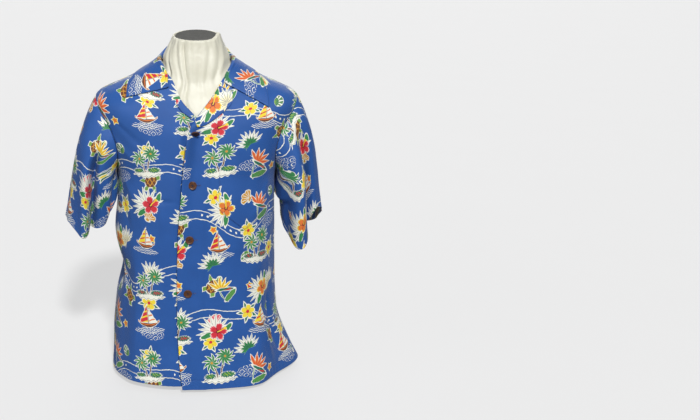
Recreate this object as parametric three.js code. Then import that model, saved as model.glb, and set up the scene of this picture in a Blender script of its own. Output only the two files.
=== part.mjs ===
// A short-sleeved hawaiian camp shirt on a limbless dress form.
// Millimetres, +Z up. The front faces -Y and +X is the wearer's left. The origin is the middle of
// the form's base, on the surface that it stands on.
import * as THREE from "three";

// Cloth and the clearances between its pieces
const WALL = 1.3; // cloth with its turnings
const SEAM_GAP = 0.34; // between two pieces that are sewn edge to edge
const LAY_GAP = 0.8; // between a panel and a piece that lies on it
const SQUARENESS = 0.12; // how far the rings of the body lean from an ellipse to a box

// Divisions of the meshes
const SIDE_ROWS = 11; // hem to underarm
const ARMHOLE_FRONT = 18; // underarm to shoulder, along the front
const ARMHOLE_BACK = 11; // underarm to yoke, along the back
const ARMHOLE_YOKE = 3; // yoke to shoulder
const EDGE_ROWS = 8; // underarm height to break point, on a front's edge
const FRONT_COLUMNS = 17;
const BACK_COLUMNS = 24;
const SLEEVE_ROWS = 14;
const RIDGE_COLUMNS = 6; // columns of the yoke along each shoulder seam
const COLLAR_COLUMNS = 26;
const STAND_ROWS = 2; // up the collar's stand
const ROLL_ROWS = 4; // over its fold
const FALL_ROWS = 6; // down to its outer edge
const LAPEL_COLUMNS = 4;
const LAPEL_ROWS = 10;
const POCKET_COLUMNS = 10;
const POCKET_ROWS = 8;
const BUTTON_SIDES = 16;
const FORM_SIDES = 36;

// Steps and searches on the surfaces
const NORMAL_STEP = 2; // millimetres up the panel
const NORMAL_TURN = 0.5; // degrees round the body
const HALVINGS = 40; // of a range in which a place is looked for
const NEAREST = { turn: 15, step: 30, lowest: 500, rounds: 12 }; // first grid and how often it is halved

// Colours
const CLOTH_COLOUR = 0x24509c;
const BUTTON_COLOUR = 0x3a2114;
const SATIN_COLOUR = 0xe9e6dc;
const CAP_COLOUR = 0x5a5a58;

// Rings of the body from hem to neck. "along" runs up the panels, "half" is the half width, "front"
// and "back" are the depths, and the three heights belong to the ring's front, sides and back.
const BODY_RINGS = [
  { along: 0, half: 190, front: 151, back: 151, zFront: 11, zSide: 14, zBack: 10 },
  { along: 100, half: 182, front: 145, back: 147, zFront: 114, zSide: 114, zBack: 114 },
  { along: 230, half: 174, front: 139, back: 142, zFront: 244, zSide: 244, zBack: 244 },
  { along: 340, half: 171, front: 137, back: 141, zFront: 354, zSide: 354, zBack: 354 },
  { along: 410, half: 170, front: 134, back: 140, zFront: 424, zSide: 424, zBack: 424 },
  { along: 456, half: 172, front: 129, back: 138, zFront: 470, zSide: 470, zBack: 474 },
  { along: 546, half: 203, front: 118, back: 130, zFront: 550, zSide: 566, zBack: 578 },
  { along: 600, half: 214, front: 107, back: 117, zFront: 594, zSide: 627, zBack: 633 },
  { along: 660, half: 142, front: 92, back: 97, zFront: 630, zSide: 665, zBack: 675 },
  { along: 710, half: 75, front: 76, back: 72, zFront: 662, zSide: 699, zBack: 707 },
];
const UNDERARM = 456; // "along" where the armhole starts
const SHOULDER = 600; // "along" at the shoulder point
const NECK = 710; // "along" at the neck seam
const ARMHOLE_ANGLE = 33; // degrees, half the armhole at its widest
const YOKE_SHARE = 5 / 6; // how far up the back of the armhole the yoke seam meets it

// The hem swings out over the wearer's left hip.
const FLARE = { angle: 0, spread: 27, top: 142, rise: 47, power: 1.35 };

// Broad folds of the body. "angle" and "spread" are in degrees, "along" and "reach" in millimetres up
// the panel, and "rise" is positive outwards. Angle 0 is the wearer's left side and 90 the front.
const BODY_FOLDS = [
  { angle: 174, spread: 22, along: 234, reach: 44, rise: -19 },
  { angle: 172, spread: 22, along: 325, reach: 55, rise: 7 },
  { angle: 207, spread: 17, along: 90, reach: 115, rise: 20 },
  { angle: 208, spread: 15, along: 345, reach: 90, rise: 13 },
  { angle: 25, spread: 13, along: 150, reach: 110, rise: -7 },
  { angle: 50, spread: 13, along: 20, reach: 100, rise: 9 },
  { angle: 132, spread: 8, along: 120, reach: 130, rise: 4 },
  { angle: 147, spread: 7, along: 190, reach: 120, rise: -4 },
  { angle: 232, spread: 8, along: 150, reach: 150, rise: 4 },
  { angle: 249, spread: 7, along: 200, reach: 150, rise: -4 },
  { angle: 292, spread: 7, along: 180, reach: 160, rise: -4 },
  { angle: 309, spread: 8, along: 130, reach: 140, rise: 4 },
  { angle: 334, spread: 9, along: 150, reach: 120, rise: -6 },
];

// The wearer's left front laps over the right. Its edge, as x at heights along the panel.
const LEFT_EDGE = [
  { along: 0, x: -30 },
  { along: 60, x: -36 },
  { along: 160, x: -40 },
  { along: 330, x: -38 },
  { along: 420, x: -31 },
  { along: 500, x: -24 },
  { along: 560, x: -17 },
  { along: 592, x: -6 },
];
const LAP = 44; // width of the lap
const LAP_LIFT = 2.4; // how far the upper front stands off the lower one
const LAP_EASE = 16; // the width over which it rises
const LAP_CLEAR = 2; // how far past the lower edge it starts to
const LAP_FADE = { from: 585, to: 640 }; // heights along the panel where the lap ends
const HEM_STEP = 6; // how much shorter the lower front hangs at its edge
const EDGE_LEAN = 3; // how late the edges lean towards the break point, as a power

// The roll line of each lapel and the neck seam above it, as x at heights above the surface.
const LEFT_NECKLINE = [
  { z: 590, x: -5 },
  { z: 612, x: 13 },
  { z: 631, x: 28 },
  { z: 650, x: 41 },
  { z: 668, x: 53 },
  { z: 684, x: 66 },
  { z: 699, x: 75 },
];
const RIGHT_NECKLINE = [
  { z: 590, x: 5 },
  { z: 612, x: -15 },
  { z: 628, x: -30 },
  { z: 650, x: -41 },
  { z: 668, x: -50 },
  { z: 684, x: -64 },
  { z: 699, x: -75 },
];

// Cuffs, as points round each opening. Turn 0 is the outer fold, 90 the front, 180 under the arm.
const CUFF_LEFT = [
  { turn: 0, x: 279, y: 22, z: 358 },
  { turn: 30, x: 269, y: -14, z: 363 },
  { turn: 60, x: 250, y: -44, z: 352 },
  { turn: 90, x: 237, y: -60, z: 318 },
  { turn: 120, x: 214, y: -57, z: 308 },
  { turn: 155, x: 189, y: -29, z: 342 },
  { turn: 180, x: 184, y: 0, z: 385 },
  { turn: 208, x: 189, y: 34, z: 345 },
  { turn: 238, x: 207, y: 60, z: 311 },
  { turn: 275, x: 236, y: 66, z: 323 },
  { turn: 320, x: 266, y: 54, z: 342 },
  { turn: 360, x: 279, y: 22, z: 358 },
];
const CUFF_RIGHT = [
  { turn: 0, x: -289, y: 2, z: 359 },
  { turn: 45, x: -272, y: -38, z: 347 },
  { turn: 90, x: -243, y: -56, z: 327 },
  { turn: 120, x: -218, y: -50, z: 338 },
  { turn: 150, x: -192, y: -29, z: 359 },
  { turn: 180, x: -185, y: 0, z: 388 },
  { turn: 210, x: -193, y: 30, z: 358 },
  { turn: 240, x: -220, y: 52, z: 331 },
  { turn: 275, x: -250, y: 56, z: 328 },
  { turn: 318, x: -277, y: 39, z: 345 },
  { turn: 360, x: -289, y: 2, z: 359 },
];

// Directions in which a sleeve's lines leave the armhole and arrive at the cuff, as shares of their
// length. "broad" is added at the front and back of the sleeve.
const SLEEVE_LEAVE = { out: 0.5, outBroad: 0.35, forward: 0.28, down: -0.86, downBroad: 0.3 };
const SLEEVE_ARRIVE = { out: 0.2, forward: -0.02, down: -0.98 };

// Lengthwise folds of the sleeves. Turn 0 is the outer fold, 90 the front and 180 the underarm, given
// at the armhole and at the cuff. "from" is where the fold starts, as a share of the sleeve.
const LEFT_SLEEVE_FOLDS = [
  { turnTop: 56, turnCuff: 82, spread: 15, from: 0.12, rise: -24 },
  { turnTop: 98, turnCuff: 118, spread: 20, from: 0.25, rise: 7 },
  { turnTop: 250, turnCuff: 262, spread: 22, from: 0.3, rise: -9 },
  { turnTop: 300, turnCuff: 306, spread: 20, from: 0.2, rise: 6 },
];
const RIGHT_SLEEVE_FOLDS = [
  { turnTop: 52, turnCuff: 66, spread: 15, from: 0.15, rise: -20 },
  { turnTop: 90, turnCuff: 100, spread: 18, from: 0.3, rise: 7 },
  { turnTop: 256, turnCuff: 270, spread: 22, from: 0.3, rise: -9 },
  { turnTop: 306, turnCuff: 312, spread: 20, from: 0.25, rise: 6 },
];
const FOLD_RAMP = 0.45; // share of the sleeve over which a fold grows to its full depth

// Collar. Station 0 is the middle of the back, 3 the shoulder seam and 5 the front end. The stand
// rises from its seam, rolls over and falls to the outer edge, whose points are given.
const COLLAR_LEFT = [
  { station: 0, angle: 270, along: NECK, stand: 31, edgeX: 0, edgeY: 86, edgeZ: 706 },
  { station: 1, angle: 300, along: NECK, stand: 28, edgeX: 58, edgeY: 75, edgeZ: 701 },
  { station: 2, angle: 333, along: NECK, stand: 10, edgeX: 95, edgeY: 44, edgeZ: 687 },
  { station: 3, angle: 360, along: NECK, stand: 4, edgeX: 122, edgeY: 0, edgeZ: 676 },
  { station: 4, angle: 404, along: 705, stand: 2, edgeX: 141, edgeY: -46, edgeZ: 652 },
  { station: 5, angle: 418, along: 692, stand: 2, edgeX: 149, edgeY: -84, edgeZ: 612 },
];
const COLLAR_RIGHT = [
  { station: 0, angle: 270, along: NECK, stand: 31, edgeX: 0, edgeY: 86, edgeZ: 706 },
  { station: 1, angle: 240, along: NECK, stand: 28, edgeX: -58, edgeY: 75, edgeZ: 701 },
  { station: 2, angle: 207, along: NECK, stand: 10, edgeX: -95, edgeY: 44, edgeZ: 687 },
  { station: 3, angle: 180, along: NECK, stand: 4, edgeX: -122, edgeY: 0, edgeZ: 676 },
  { station: 4, angle: 136, along: 705, stand: 2, edgeX: -141, edgeY: -40, edgeZ: 658 },
  { station: 5, angle: 118, along: 682, stand: 2, edgeX: -144, edgeY: -72, edgeZ: 631 },
];
const ROLL = 3.2; // radius of the fold along the collar's top
const COLLAR_END = 5; // the last station
const COLLAR_SPREAD = 1.5; // how much more it falls sideways than its seam faces

// Lapels: the facings turned out over the fronts, between the roll line and their outer edge.
const LAPEL_LEFT = [
  { row: 0, rollX: -3, rollZ: 590, edgeX: 2, edgeZ: 577 },
  { row: 1, rollX: 9, rollZ: 606, edgeX: 18, edgeZ: 581 },
  { row: 2, rollX: 21, rollZ: 621, edgeX: 38, edgeZ: 593 },
  { row: 3, rollX: 32, rollZ: 635, edgeX: 56, edgeZ: 607 },
  { row: 4, rollX: 40, rollZ: 647, edgeX: 71, edgeZ: 621 },
  { row: 5, rollX: 47, rollZ: 656, edgeX: 74, edgeZ: 643 },
];
const LAPEL_RIGHT = [
  { row: 0, rollX: -5, rollZ: 602, edgeX: -11, edgeZ: 594 },
  { row: 1, rollX: -9, rollZ: 606, edgeX: -18, edgeZ: 599 },
  { row: 2, rollX: -17, rollZ: 613, edgeX: -28, edgeZ: 606 },
  { row: 3, rollX: -27, rollZ: 624, edgeX: -39, edgeZ: 619 },
  { row: 4, rollX: -32, rollZ: 631, edgeX: -42, edgeZ: 630 },
];

// Pocket: a patch on the wearer's left chest with a pointed bottom.
const POCKET = { inner: 46, outer: 156, top: 499, drop: 0.07, side: 91, point: 134, middle: 100 };
const POCKET_LIFT = { inner: 0.9, outer: 1.7 }; // it stands off more where the chest curves away

// Buttons, four down the lap. Each is a dished disc with a raised rim.
const BUTTONS = [
  { name: "button_1", x: -2, z: 565 },
  { name: "button_2", x: -8, z: 460 },
  { name: "button_3", x: -14, z: 345 },
  { name: "button_4", x: -18, z: 228 },
];
const BUTTON_RADIUS = 8.8;
const BUTTON_PROFILE = [
  [0, 0],
  [7.6, 0],
  [BUTTON_RADIUS, 0.9],
  [BUTTON_RADIUS, 1.9],
  [7.9, 2.9],
  [6.4, 2.9],
  [5.2, 2.2],
  [0, 2.2],
];

// Dress form: rings from its base to the rim of its neck. Its shoulders follow the inside of the
// shirt, a little clear of the cloth, and its neck ends in a shallow recess with a dark cap.
const FORM_RINGS = [
  { up: 0, half: 156, front: 94, back: 98, zFront: 0, zSide: 0, zBack: 0 },
  { up: 8, half: 160, front: 98, back: 102, zFront: 8, zSide: 8, zBack: 8 },
  { up: 110, half: 163, front: 106, back: 110, zFront: 110, zSide: 110, zBack: 110 },
  { up: 245, half: 146, front: 98, back: 102, zFront: 245, zSide: 245, zBack: 245 },
  { up: 350, half: 152, front: 107, back: 112, zFront: 350, zSide: 350, zBack: 350 },
  { up: 440, half: 160, front: 116, back: 122, zFront: 440, zSide: 440, zBack: 440 },
  { up: 520, half: 174, front: 112, back: 122, zFront: 512, zSide: 520, zBack: 530 },
  { up: 588, half: 198, front: 108, back: 118, zFront: 560, zSide: 587, zBack: 592 },
  { up: 628, half: 208, front: 103, back: 112.5, zFront: 592, zSide: 622, zBack: 629 },
  { up: 706, half: 141, front: 88.5, back: 93.5, zFront: 628, zSide: 661, zBack: 672 },
  { up: 782, half: 72.5, front: 71.5, back: 69, zFront: 658, zSide: 695, zBack: 703 },
  { up: 802, half: 67, front: 63, back: 60, zFront: 690, zSide: 714, zBack: 722 },
  { up: 826, half: 58, front: 55, back: 54, zFront: 728, zSide: 736, zBack: 740 },
  { up: 849, half: 50, front: 50, back: 50, zFront: 757, zSide: 757, zBack: 757 },
];
const NECK_RIM = { half: 45, z: 758.5 };
const NECK_RECESS = { half: 43, z: 753 };
const CAP = { radius: 41.5, thickness: 2.5, gap: 0.3 };


const { Vector3 } = THREE;
const radians = THREE.MathUtils.degToRad;
const lerp = THREE.MathUtils.lerp;
const smoothstep = THREE.MathUtils.smoothstep;
const bell = (distance, width) => Math.exp(-((distance / width) ** 2));

// The values of a table at a place on its first column, on smooth curves through its rows.
function valuesAt(rows, place) {
  const [key, ...columns] = Object.keys(rows[0]);
  const above = rows.findIndex((row) => row[key] > place);
  const k = above < 0 ? rows.length - 2 : Math.max(0, above - 1);
  const span = rows[k + 1][key] - rows[k][key];
  const t = THREE.MathUtils.clamp((place - rows[k][key]) / span, 0, 1);
  const slope = (i, column) => {
    const before = rows[Math.max(0, i - 1)];
    const after = rows[Math.min(rows.length - 1, i + 1)];
    return (after[column] - before[column]) / (after[key] - before[key]);
  };
  const values = {};
  for (const column of columns) {
    const start = rows[k][column];
    const end = rows[k + 1][column];
    const rise = t * t * (3 - 2 * t);
    values[column] =
      start +
      (end - start) * rise +
      span * slope(k, column) * t * (1 - t) ** 2 -
      span * slope(k + 1, column) * t * t * (1 - t);
  }
  return values;
}

// The shortest way round from one angle to another, in degrees.
function turnBetween(angle, other) {
  return ((((angle - other + 180) % 360) + 360) % 360) - 180;
}

// A point of a smooth ring at an angle in degrees.
function ringPoint(ring, angle) {
  const c = Math.cos(radians(angle));
  const s = Math.sin(radians(angle));
  const depth = s > 0 ? ring.front : ring.back;
  const zEnd = s > 0 ? ring.zFront : ring.zBack;
  return new Vector3(
    ring.half * c * (1 + SQUARENESS * s * s),
    -depth * s * (1 + SQUARENESS * c * c),
    lerp(ring.zSide, zEnd, s * s),
  );
}

// A point of the shirt's body, with its flare and folds.
function bodyPoint(angle, along) {
  const point = ringPoint(valuesAt(BODY_RINGS, along), angle);
  const outwards = new Vector3(point.x, point.y, 0).normalize();
  const flareHeight = Math.max(0, (FLARE.top - along) / FLARE.top) ** FLARE.power;
  let rise = FLARE.rise * flareHeight * bell(turnBetween(angle, FLARE.angle), FLARE.spread);
  for (const fold of BODY_FOLDS) {
    const across = bell(turnBetween(angle, fold.angle), fold.spread);
    rise += fold.rise * across * bell(along - fold.along, fold.reach);
  }
  return point.addScaledVector(outwards, rise);
}

// The direction out of the body's surface.
function bodyNormal(angle, along) {
  const above = Math.min(NECK, along + NORMAL_STEP);
  const right = bodyPoint(angle + NORMAL_TURN, along);
  const across = right.sub(bodyPoint(angle - NORMAL_TURN, along));
  const upwards = bodyPoint(angle, above).sub(bodyPoint(angle, above - 2 * NORMAL_STEP));
  return upwards.cross(across).normalize();
}

// A point on or above the body, with the direction out of it.
function bodySpot(angle, along, lift = 0) {
  const normal = bodyNormal(angle, along);
  return { point: bodyPoint(angle, along).addScaledVector(normal, lift), normal };
}

// The angle on the front at which the body has a given x.
function frontAngle(x, along) {
  const { half } = valuesAt(BODY_RINGS, along);
  let low = 0;
  let high = 180;
  for (let step = 0; step < HALVINGS; step++) {
    const middle = (low + high) / 2;
    const c = Math.cos(radians(middle));
    const s = Math.sin(radians(middle));
    if (half * c * (1 + SQUARENESS * s * s) > x) low = middle;
    else high = middle;
  }
  return (low + high) / 2;
}

// Angle and height along the panel where the front has a given x and z.
function frontPlace(x, z) {
  let low = 0;
  let high = NECK;
  for (let step = 0; step < HALVINGS; step++) {
    const middle = (low + high) / 2;
    if (bodyPoint(frontAngle(x, middle), middle).z < z) low = middle;
    else high = middle;
  }
  const along = (low + high) / 2;
  return [frontAngle(x, along), along];
}

// Mirrors or keeps an angle: side 1 is the wearer's left, side -1 the right.
const sideAngle = (angle, side) => (side > 0 ? angle : 180 - angle);

// The armhole, counted from the underarm (0) to the shoulder (1), along the front or the back.
function armholePlace(share, side, back) {
  const turn = Math.PI * share;
  let angle = ARMHOLE_ANGLE * Math.sin(turn);
  let along = lerp(UNDERARM, SHOULDER, (1 - Math.cos(turn)) / 2);
  if (back && share > YOKE_SHARE) {
    const top = (share - YOKE_SHARE) / (1 - YOKE_SHARE);
    const [seamAngle, seamAlong] = armholePlace(YOKE_SHARE, 1, false);
    angle = lerp(seamAngle, 0, top);
    along = lerp(seamAlong, SHOULDER, top);
  }
  return [sideAngle(back ? -angle : angle, side), along];
}

// A closed wall between two grids of points with the same rows and columns. A round wall joins its
// last column to its first.
function wall(face, reverse, round = false) {
  const rows = face.length;
  const columns = face[0].length;
  const vertices = [...face.flat(), ...reverse.flat()];
  const other = rows * columns;
  const at = (row, column) => row * columns + (column % columns);
  const triangles = [];
  const quad = (a, b, c, d) => triangles.push([a, b, c], [a, c, d]);
  for (let row = 0; row < rows - 1; row++) {
    for (let column = 0; column < columns - (round ? 0 : 1); column++) {
      const corners = [
        at(row, column),
        at(row, column + 1),
        at(row + 1, column + 1),
        at(row + 1, column),
      ];
      quad(...corners);
      const [a, b, c, d] = corners.map((corner) => corner + other);
      quad(a, d, c, b); // parted along the same diagonal, so that the two faces stay apart
    }
  }
  const rim = (a, b) => quad(b, a, a + other, b + other);
  for (let column = 0; column < columns - (round ? 0 : 1); column++) {
    rim(at(0, column), at(0, column + 1));
    rim(at(rows - 1, column + 1), at(rows - 1, column));
  }
  for (let row = 0; row < rows - 1 && !round; row++) {
    rim(at(row + 1, 0), at(row, 0));
    rim(at(row, columns - 1), at(row + 1, columns - 1));
  }
  return solid(vertices, triangles);
}

// A geometry from vertices and triangles, turned so that its faces point out.
function solid(vertices, triangles) {
  let volume = 0;
  for (const [a, b, c] of triangles) {
    volume += vertices[a].dot(new Vector3().crossVectors(vertices[b], vertices[c]));
  }
  const index = triangles.flatMap(([a, b, c]) => (volume > 0 ? [a, b, c] : [a, c, b]));
  const geometry = new THREE.BufferGeometry().setFromPoints(vertices);
  geometry.setIndex(index);
  geometry.computeVertexNormals();
  return geometry;
}

// Moves the points of a row or column of spots towards the next one in, to leave a seam's gap.
function drawIn(edge, inner, distance) {
  edge.forEach((spot, i) => {
    const step = inner[i].point.clone().sub(spot.point).normalize().multiplyScalar(distance);
    spot.shift = (spot.shift ?? new Vector3()).add(step);
  });
}

// The wall of a piece of cloth from a grid of spots, with its gaps at the named edges.
function clothWall(spots, gaps = {}, round = false, thickness = WALL) {
  const column = (i) => spots.map((row) => row.at(i));
  if (gaps.bottom) drawIn(spots[0], spots[1], gaps.bottom);
  if (gaps.top) drawIn(spots.at(-1), spots.at(-2), gaps.top);
  if (gaps.first) drawIn(column(0), column(1), gaps.first);
  if (gaps.last) drawIn(column(-1), column(-2), gaps.last);
  const face = spots.map((row) =>
    row.map((spot) => spot.point.clone().add(spot.shift ?? new Vector3())),
  );
  const reverse = face.map((row, j) =>
    row.map((point, i) => point.clone().addScaledVector(spots[j][i].normal, -thickness)),
  );
  return wall(face, reverse, round);
}

// A point of a cuff's edge.
function cuffPoint(cuff, turn) {
  const { x, y, z } = valuesAt(cuff, turn);
  return new Vector3(x, y, z);
}

// The places round an armhole: down its front from the shoulder, and up its back.
function armholeRound(side) {
  const places = [];
  for (let i = 0; i < ARMHOLE_FRONT; i++) {
    places.push({ turn: (180 * i) / ARMHOLE_FRONT, share: 1 - i / ARMHOLE_FRONT, back: false });
  }
  for (let i = 0; i < ARMHOLE_BACK + ARMHOLE_YOKE; i++) {
    const share =
      i < ARMHOLE_BACK
        ? (YOKE_SHARE * i) / ARMHOLE_BACK
        : lerp(YOKE_SHARE, 1, (i - ARMHOLE_BACK) / ARMHOLE_YOKE);
    places.push({ turn: 180 + 180 * share, share, back: true });
  }
  return places.map((place) => ({
    ...place,
    spot: bodySpot(...armholePlace(place.share, side, place.back)),
  }));
}

// A sleeve's grid of spots from armhole to cuff. Its first row shares its directions with the body,
// so that both walls end on one mitre.
function sleeveSpots(side, cuff, folds) {
  const round = armholeRound(side);
  const rows = [];
  for (let j = 0; j <= SLEEVE_ROWS; j++) {
    const t = j / SLEEVE_ROWS;
    const ring = round.map(({ turn, spot }) => {
      const start = spot.point;
      const end = cuffPoint(cuff, turn);
      const chord = end.distanceTo(start);
      const bulge = Math.sin(radians(turn)) ** 2;
      const leave = new Vector3(
        side * (SLEEVE_LEAVE.out + SLEEVE_LEAVE.outBroad * bulge),
        -SLEEVE_LEAVE.forward * Math.sin(radians(turn)),
        SLEEVE_LEAVE.down + SLEEVE_LEAVE.downBroad * bulge,
      );
      const arrive = new Vector3(
        side * SLEEVE_ARRIVE.out,
        -SLEEVE_ARRIVE.forward * Math.sin(radians(turn)),
        SLEEVE_ARRIVE.down,
      );
      const point = start
        .clone()
        .multiplyScalar((1 + 2 * t) * (1 - t) ** 2)
        .addScaledVector(end, t * t * (3 - 2 * t))
        .addScaledVector(leave, chord * t * (1 - t) ** 2)
        .addScaledVector(arrive, -chord * t * t * (1 - t));
      return point;
    });
    const centre = ring
      .reduce((sum, point) => sum.add(point), new Vector3())
      .divideScalar(ring.length);
    rows.push(
      ring.map((point, i) => {
        const outwards = point.clone().sub(centre).normalize();
        let rise = 0;
        for (const fold of folds) {
          const turn = lerp(fold.turnTop, fold.turnCuff, t);
          const across = bell(turnBetween(round[i].turn, turn), fold.spread);
          rise += fold.rise * across * smoothstep(t, fold.from, fold.from + FOLD_RAMP);
        }
        return { point: point.addScaledVector(outwards, rise), outwards };
      }),
    );
  }
  const count = round.length;
  rows.forEach((row, j) => {
    const before = rows[Math.max(0, j - 1)];
    const after = rows[Math.min(SLEEVE_ROWS, j + 1)];
    row.forEach((spot, i) => {
      const across = row[(i + 1) % count].point.clone().sub(row[(i + count - 1) % count].point);
      const down = after[i].point.clone().sub(before[i].point);
      const normal = across.cross(down).normalize();
      spot.normal = normal.dot(spot.outwards) < 0 ? normal.negate() : normal;
    });
  });
  rows[0].forEach((spot, i) => {
    spot.normal = spot.normal.clone().add(round[i].spot.normal).normalize();
  });
  return rows;
}

const sleeveLeft = sleeveSpots(1, CUFF_LEFT, LEFT_SLEEVE_FOLDS);
const sleeveRight = sleeveSpots(-1, CUFF_RIGHT, RIGHT_SLEEVE_FOLDS);

// The side of a front from hem to shoulder: the side seam and then the armhole.
function sidePlaces(side, back) {
  const rows = back ? ARMHOLE_BACK : ARMHOLE_FRONT;
  const places = [];
  for (let j = 0; j < SIDE_ROWS; j++) {
    places.push([sideAngle(0, side), (UNDERARM * j) / SIDE_ROWS]);
  }
  for (let j = 0; j <= rows; j++) {
    places.push(armholePlace(((back ? YOKE_SHARE : 1) * j) / rows, side, back));
  }
  return places;
}

// The edge of a front from hem to break point, and its roll line and neck seam up to the shoulder.
function frontEdgePlaces(side) {
  const neckline = side > 0 ? LEFT_NECKLINE : RIGHT_NECKLINE;
  const edgeX = (along) => valuesAt(LEFT_EDGE, along).x + (side > 0 ? 0 : LAP);
  const [breakPoint, neckPoint] = [neckline[0], neckline.at(-1)];
  const breakAlong = frontPlace(breakPoint.x, breakPoint.z)[1];
  const places = [];
  for (let j = 0; j < SIDE_ROWS; j++) {
    const along = j || side > 0 ? (UNDERARM * j) / SIDE_ROWS : HEM_STEP;
    places.push([frontAngle(edgeX(along), along), along]);
  }
  for (let j = 0; j < EDGE_ROWS; j++) {
    const along = lerp(UNDERARM, breakAlong, j / EDGE_ROWS);
    const lean = (breakPoint.x - edgeX(breakAlong)) * (j / EDGE_ROWS) ** EDGE_LEAN;
    places.push([frontAngle(edgeX(along) + lean, along), along]);
  }
  const neckRows = ARMHOLE_FRONT - EDGE_ROWS;
  for (let j = 0; j < neckRows; j++) {
    const z = lerp(breakPoint.z, neckPoint.z, j / neckRows);
    places.push(frontPlace(valuesAt(neckline, z).x, z));
  }
  places.push([sideAngle(0, side), NECK]);
  return places;
}

// How far the upper front stands off, over the lower front's edge.
function lapLift(x, along) {
  const lowerEdge = valuesAt(LEFT_EDGE, along).x + LAP;
  const landing = lowerEdge + LAP_CLEAR;
  const fade = 1 - smoothstep(along, LAP_FADE.from, LAP_FADE.to);
  return LAP_LIFT * (1 - smoothstep(x, landing, landing + LAP_EASE)) * fade;
}

// Spots between two edges that have the same rows.
function spotsBetween(first, last, columns, lift = () => 0) {
  return first.map(([angle, along], j) =>
    Array.from({ length: columns + 1 }, (_, i) => {
      const share = i / columns;
      const place = [lerp(angle, last[j][0], share), lerp(along, last[j][1], share)];
      return bodySpot(...place, lift(bodyPoint(...place).x, place[1]));
    }),
  );
}

// Gives the armhole rows of a panel the mitred directions of the sleeve's first row.
function mitre(spots, column, sleeve, back) {
  const count = sleeve[0].length;
  for (let j = SIDE_ROWS; j < spots.length; j++) {
    const up = j - SIDE_ROWS;
    const i = back ? ARMHOLE_FRONT + up : ARMHOLE_FRONT - up;
    spots[j].at(column).normal = sleeve[0][(i + count) % count].normal;
  }
}

const HALF_GAP = SEAM_GAP / 2;
const material = (color, roughness, metalness = 0) =>
  new THREE.MeshStandardMaterial({ color, roughness, metalness });
const cloth = () => material(CLOTH_COLOUR, 0.6);

const shirt = new THREE.Group();
function add(name, geometry, itsMaterial) {
  const mesh = new THREE.Mesh(geometry, itsMaterial);
  mesh.name = name;
  shirt.add(mesh);
  return mesh;
}

// Fronts
for (const [name, side, sleeve] of [
  ["front_left", 1, sleeveLeft],
  ["front_right", -1, sleeveRight],
]) {
  const lift = side > 0 ? lapLift : () => 0;
  const places = [sidePlaces(side, false), frontEdgePlaces(side)];
  const spots = spotsBetween(...places, FRONT_COLUMNS, lift);
  mitre(spots, 0, sleeve, false);
  add(name, clothWall(spots, { first: HALF_GAP, top: HALF_GAP }), cloth());
}

// Back and yoke
const backSides = [-1, 1].map((side) => sidePlaces(side, true));
// The back's angles run on from 180 through 270 at the middle of the back to 360.
const unwrapped = backSides[1].map(([angle, along]) => [angle + 360, along]);
const backSpots = spotsBetween(backSides[0], unwrapped, BACK_COLUMNS);
mitre(backSpots, 0, sleeveRight, true);
mitre(backSpots, -1, sleeveLeft, true);
add(
  "back",
  clothWall(backSpots, { first: HALF_GAP, last: HALF_GAP, top: HALF_GAP }),
  cloth(),
);

// The yoke's places, from its seam with the back up to the shoulder seams and the neck.
function yokePlaces() {
  const seam = [backSides[0].at(-1), unwrapped.at(-1)];
  const neckColumns = BACK_COLUMNS - 2 * RIDGE_COLUMNS;
  const rows = Array.from({ length: ARMHOLE_YOKE + 1 }, () => []);
  for (let i = 0; i <= BACK_COLUMNS; i++) {
    const low = [
      lerp(seam[0][0], seam[1][0], i / BACK_COLUMNS),
      lerp(seam[0][1], seam[1][1], i / BACK_COLUMNS),
    ];
    const ridge = Math.min(i, BACK_COLUMNS - i, RIDGE_COLUMNS) / RIDGE_COLUMNS;
    const round = THREE.MathUtils.clamp((i - RIDGE_COLUMNS) / neckColumns, 0, 1);
    const high = [180 + 180 * round, lerp(SHOULDER, NECK, ridge)];
    rows.forEach((row, j) => {
      const share = j / ARMHOLE_YOKE;
      row.push([lerp(low[0], high[0], share), lerp(low[1], high[1], share)]);
    });
  }
  return rows;
}
const yokeSpots = yokePlaces().map((row) => row.map((place) => bodySpot(...place)));
yokeSpots.forEach((row, j) => {
  const up = ARMHOLE_FRONT + ARMHOLE_BACK + j;
  const count = sleeveLeft[0].length;
  row[0].normal = sleeveRight[0][up % count].normal;
  row.at(-1).normal = sleeveLeft[0][up % count].normal;
});
add(
  "yoke",
  clothWall(yokeSpots, {
    first: HALF_GAP,
    last: HALF_GAP,
    top: HALF_GAP,
    bottom: HALF_GAP,
  }),
  cloth(),
);

// Sleeves
add("sleeve_left", clothWall(sleeveLeft, { bottom: HALF_GAP }, true), cloth());
add("sleeve_right", clothWall(sleeveRight, { bottom: HALF_GAP }, true), cloth());

// The place on the body nearest to a point, found on ever finer grids.
function nearestPlace(point) {
  let best = { distance: Infinity };
  let angleStep = NEAREST.turn;
  let alongStep = NEAREST.step;
  for (let angle = 0; angle < 360; angle += angleStep) {
    for (let along = NEAREST.lowest; along <= NECK; along += alongStep) {
      const distance = bodyPoint(angle, along).distanceTo(point);
      if (distance < best.distance) best = { angle, along, distance };
    }
  }
  for (let round = 0; round < NEAREST.rounds; round++) {
    angleStep /= 2;
    alongStep /= 2;
    const { angle: a, along: v } = best;
    for (const da of [-angleStep, 0, angleStep]) {
      for (const dv of [-alongStep, 0, alongStep]) {
        const along = Math.min(NECK, v + dv);
        const distance = bodyPoint(a + da, along).distanceTo(point);
        if (distance < best.distance) best = { angle: a + da, along, distance };
      }
    }
  }
  return best;
}

// A point moved out so that it is at least this far off the body.
function heldOff(point, distance) {
  const { angle, along } = nearestPlace(point);
  const normal = bodyNormal(angle, along);
  const height = point.clone().sub(bodyPoint(angle, along)).dot(normal);
  return point.clone().addScaledVector(normal, Math.max(0, distance - height));
}

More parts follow.
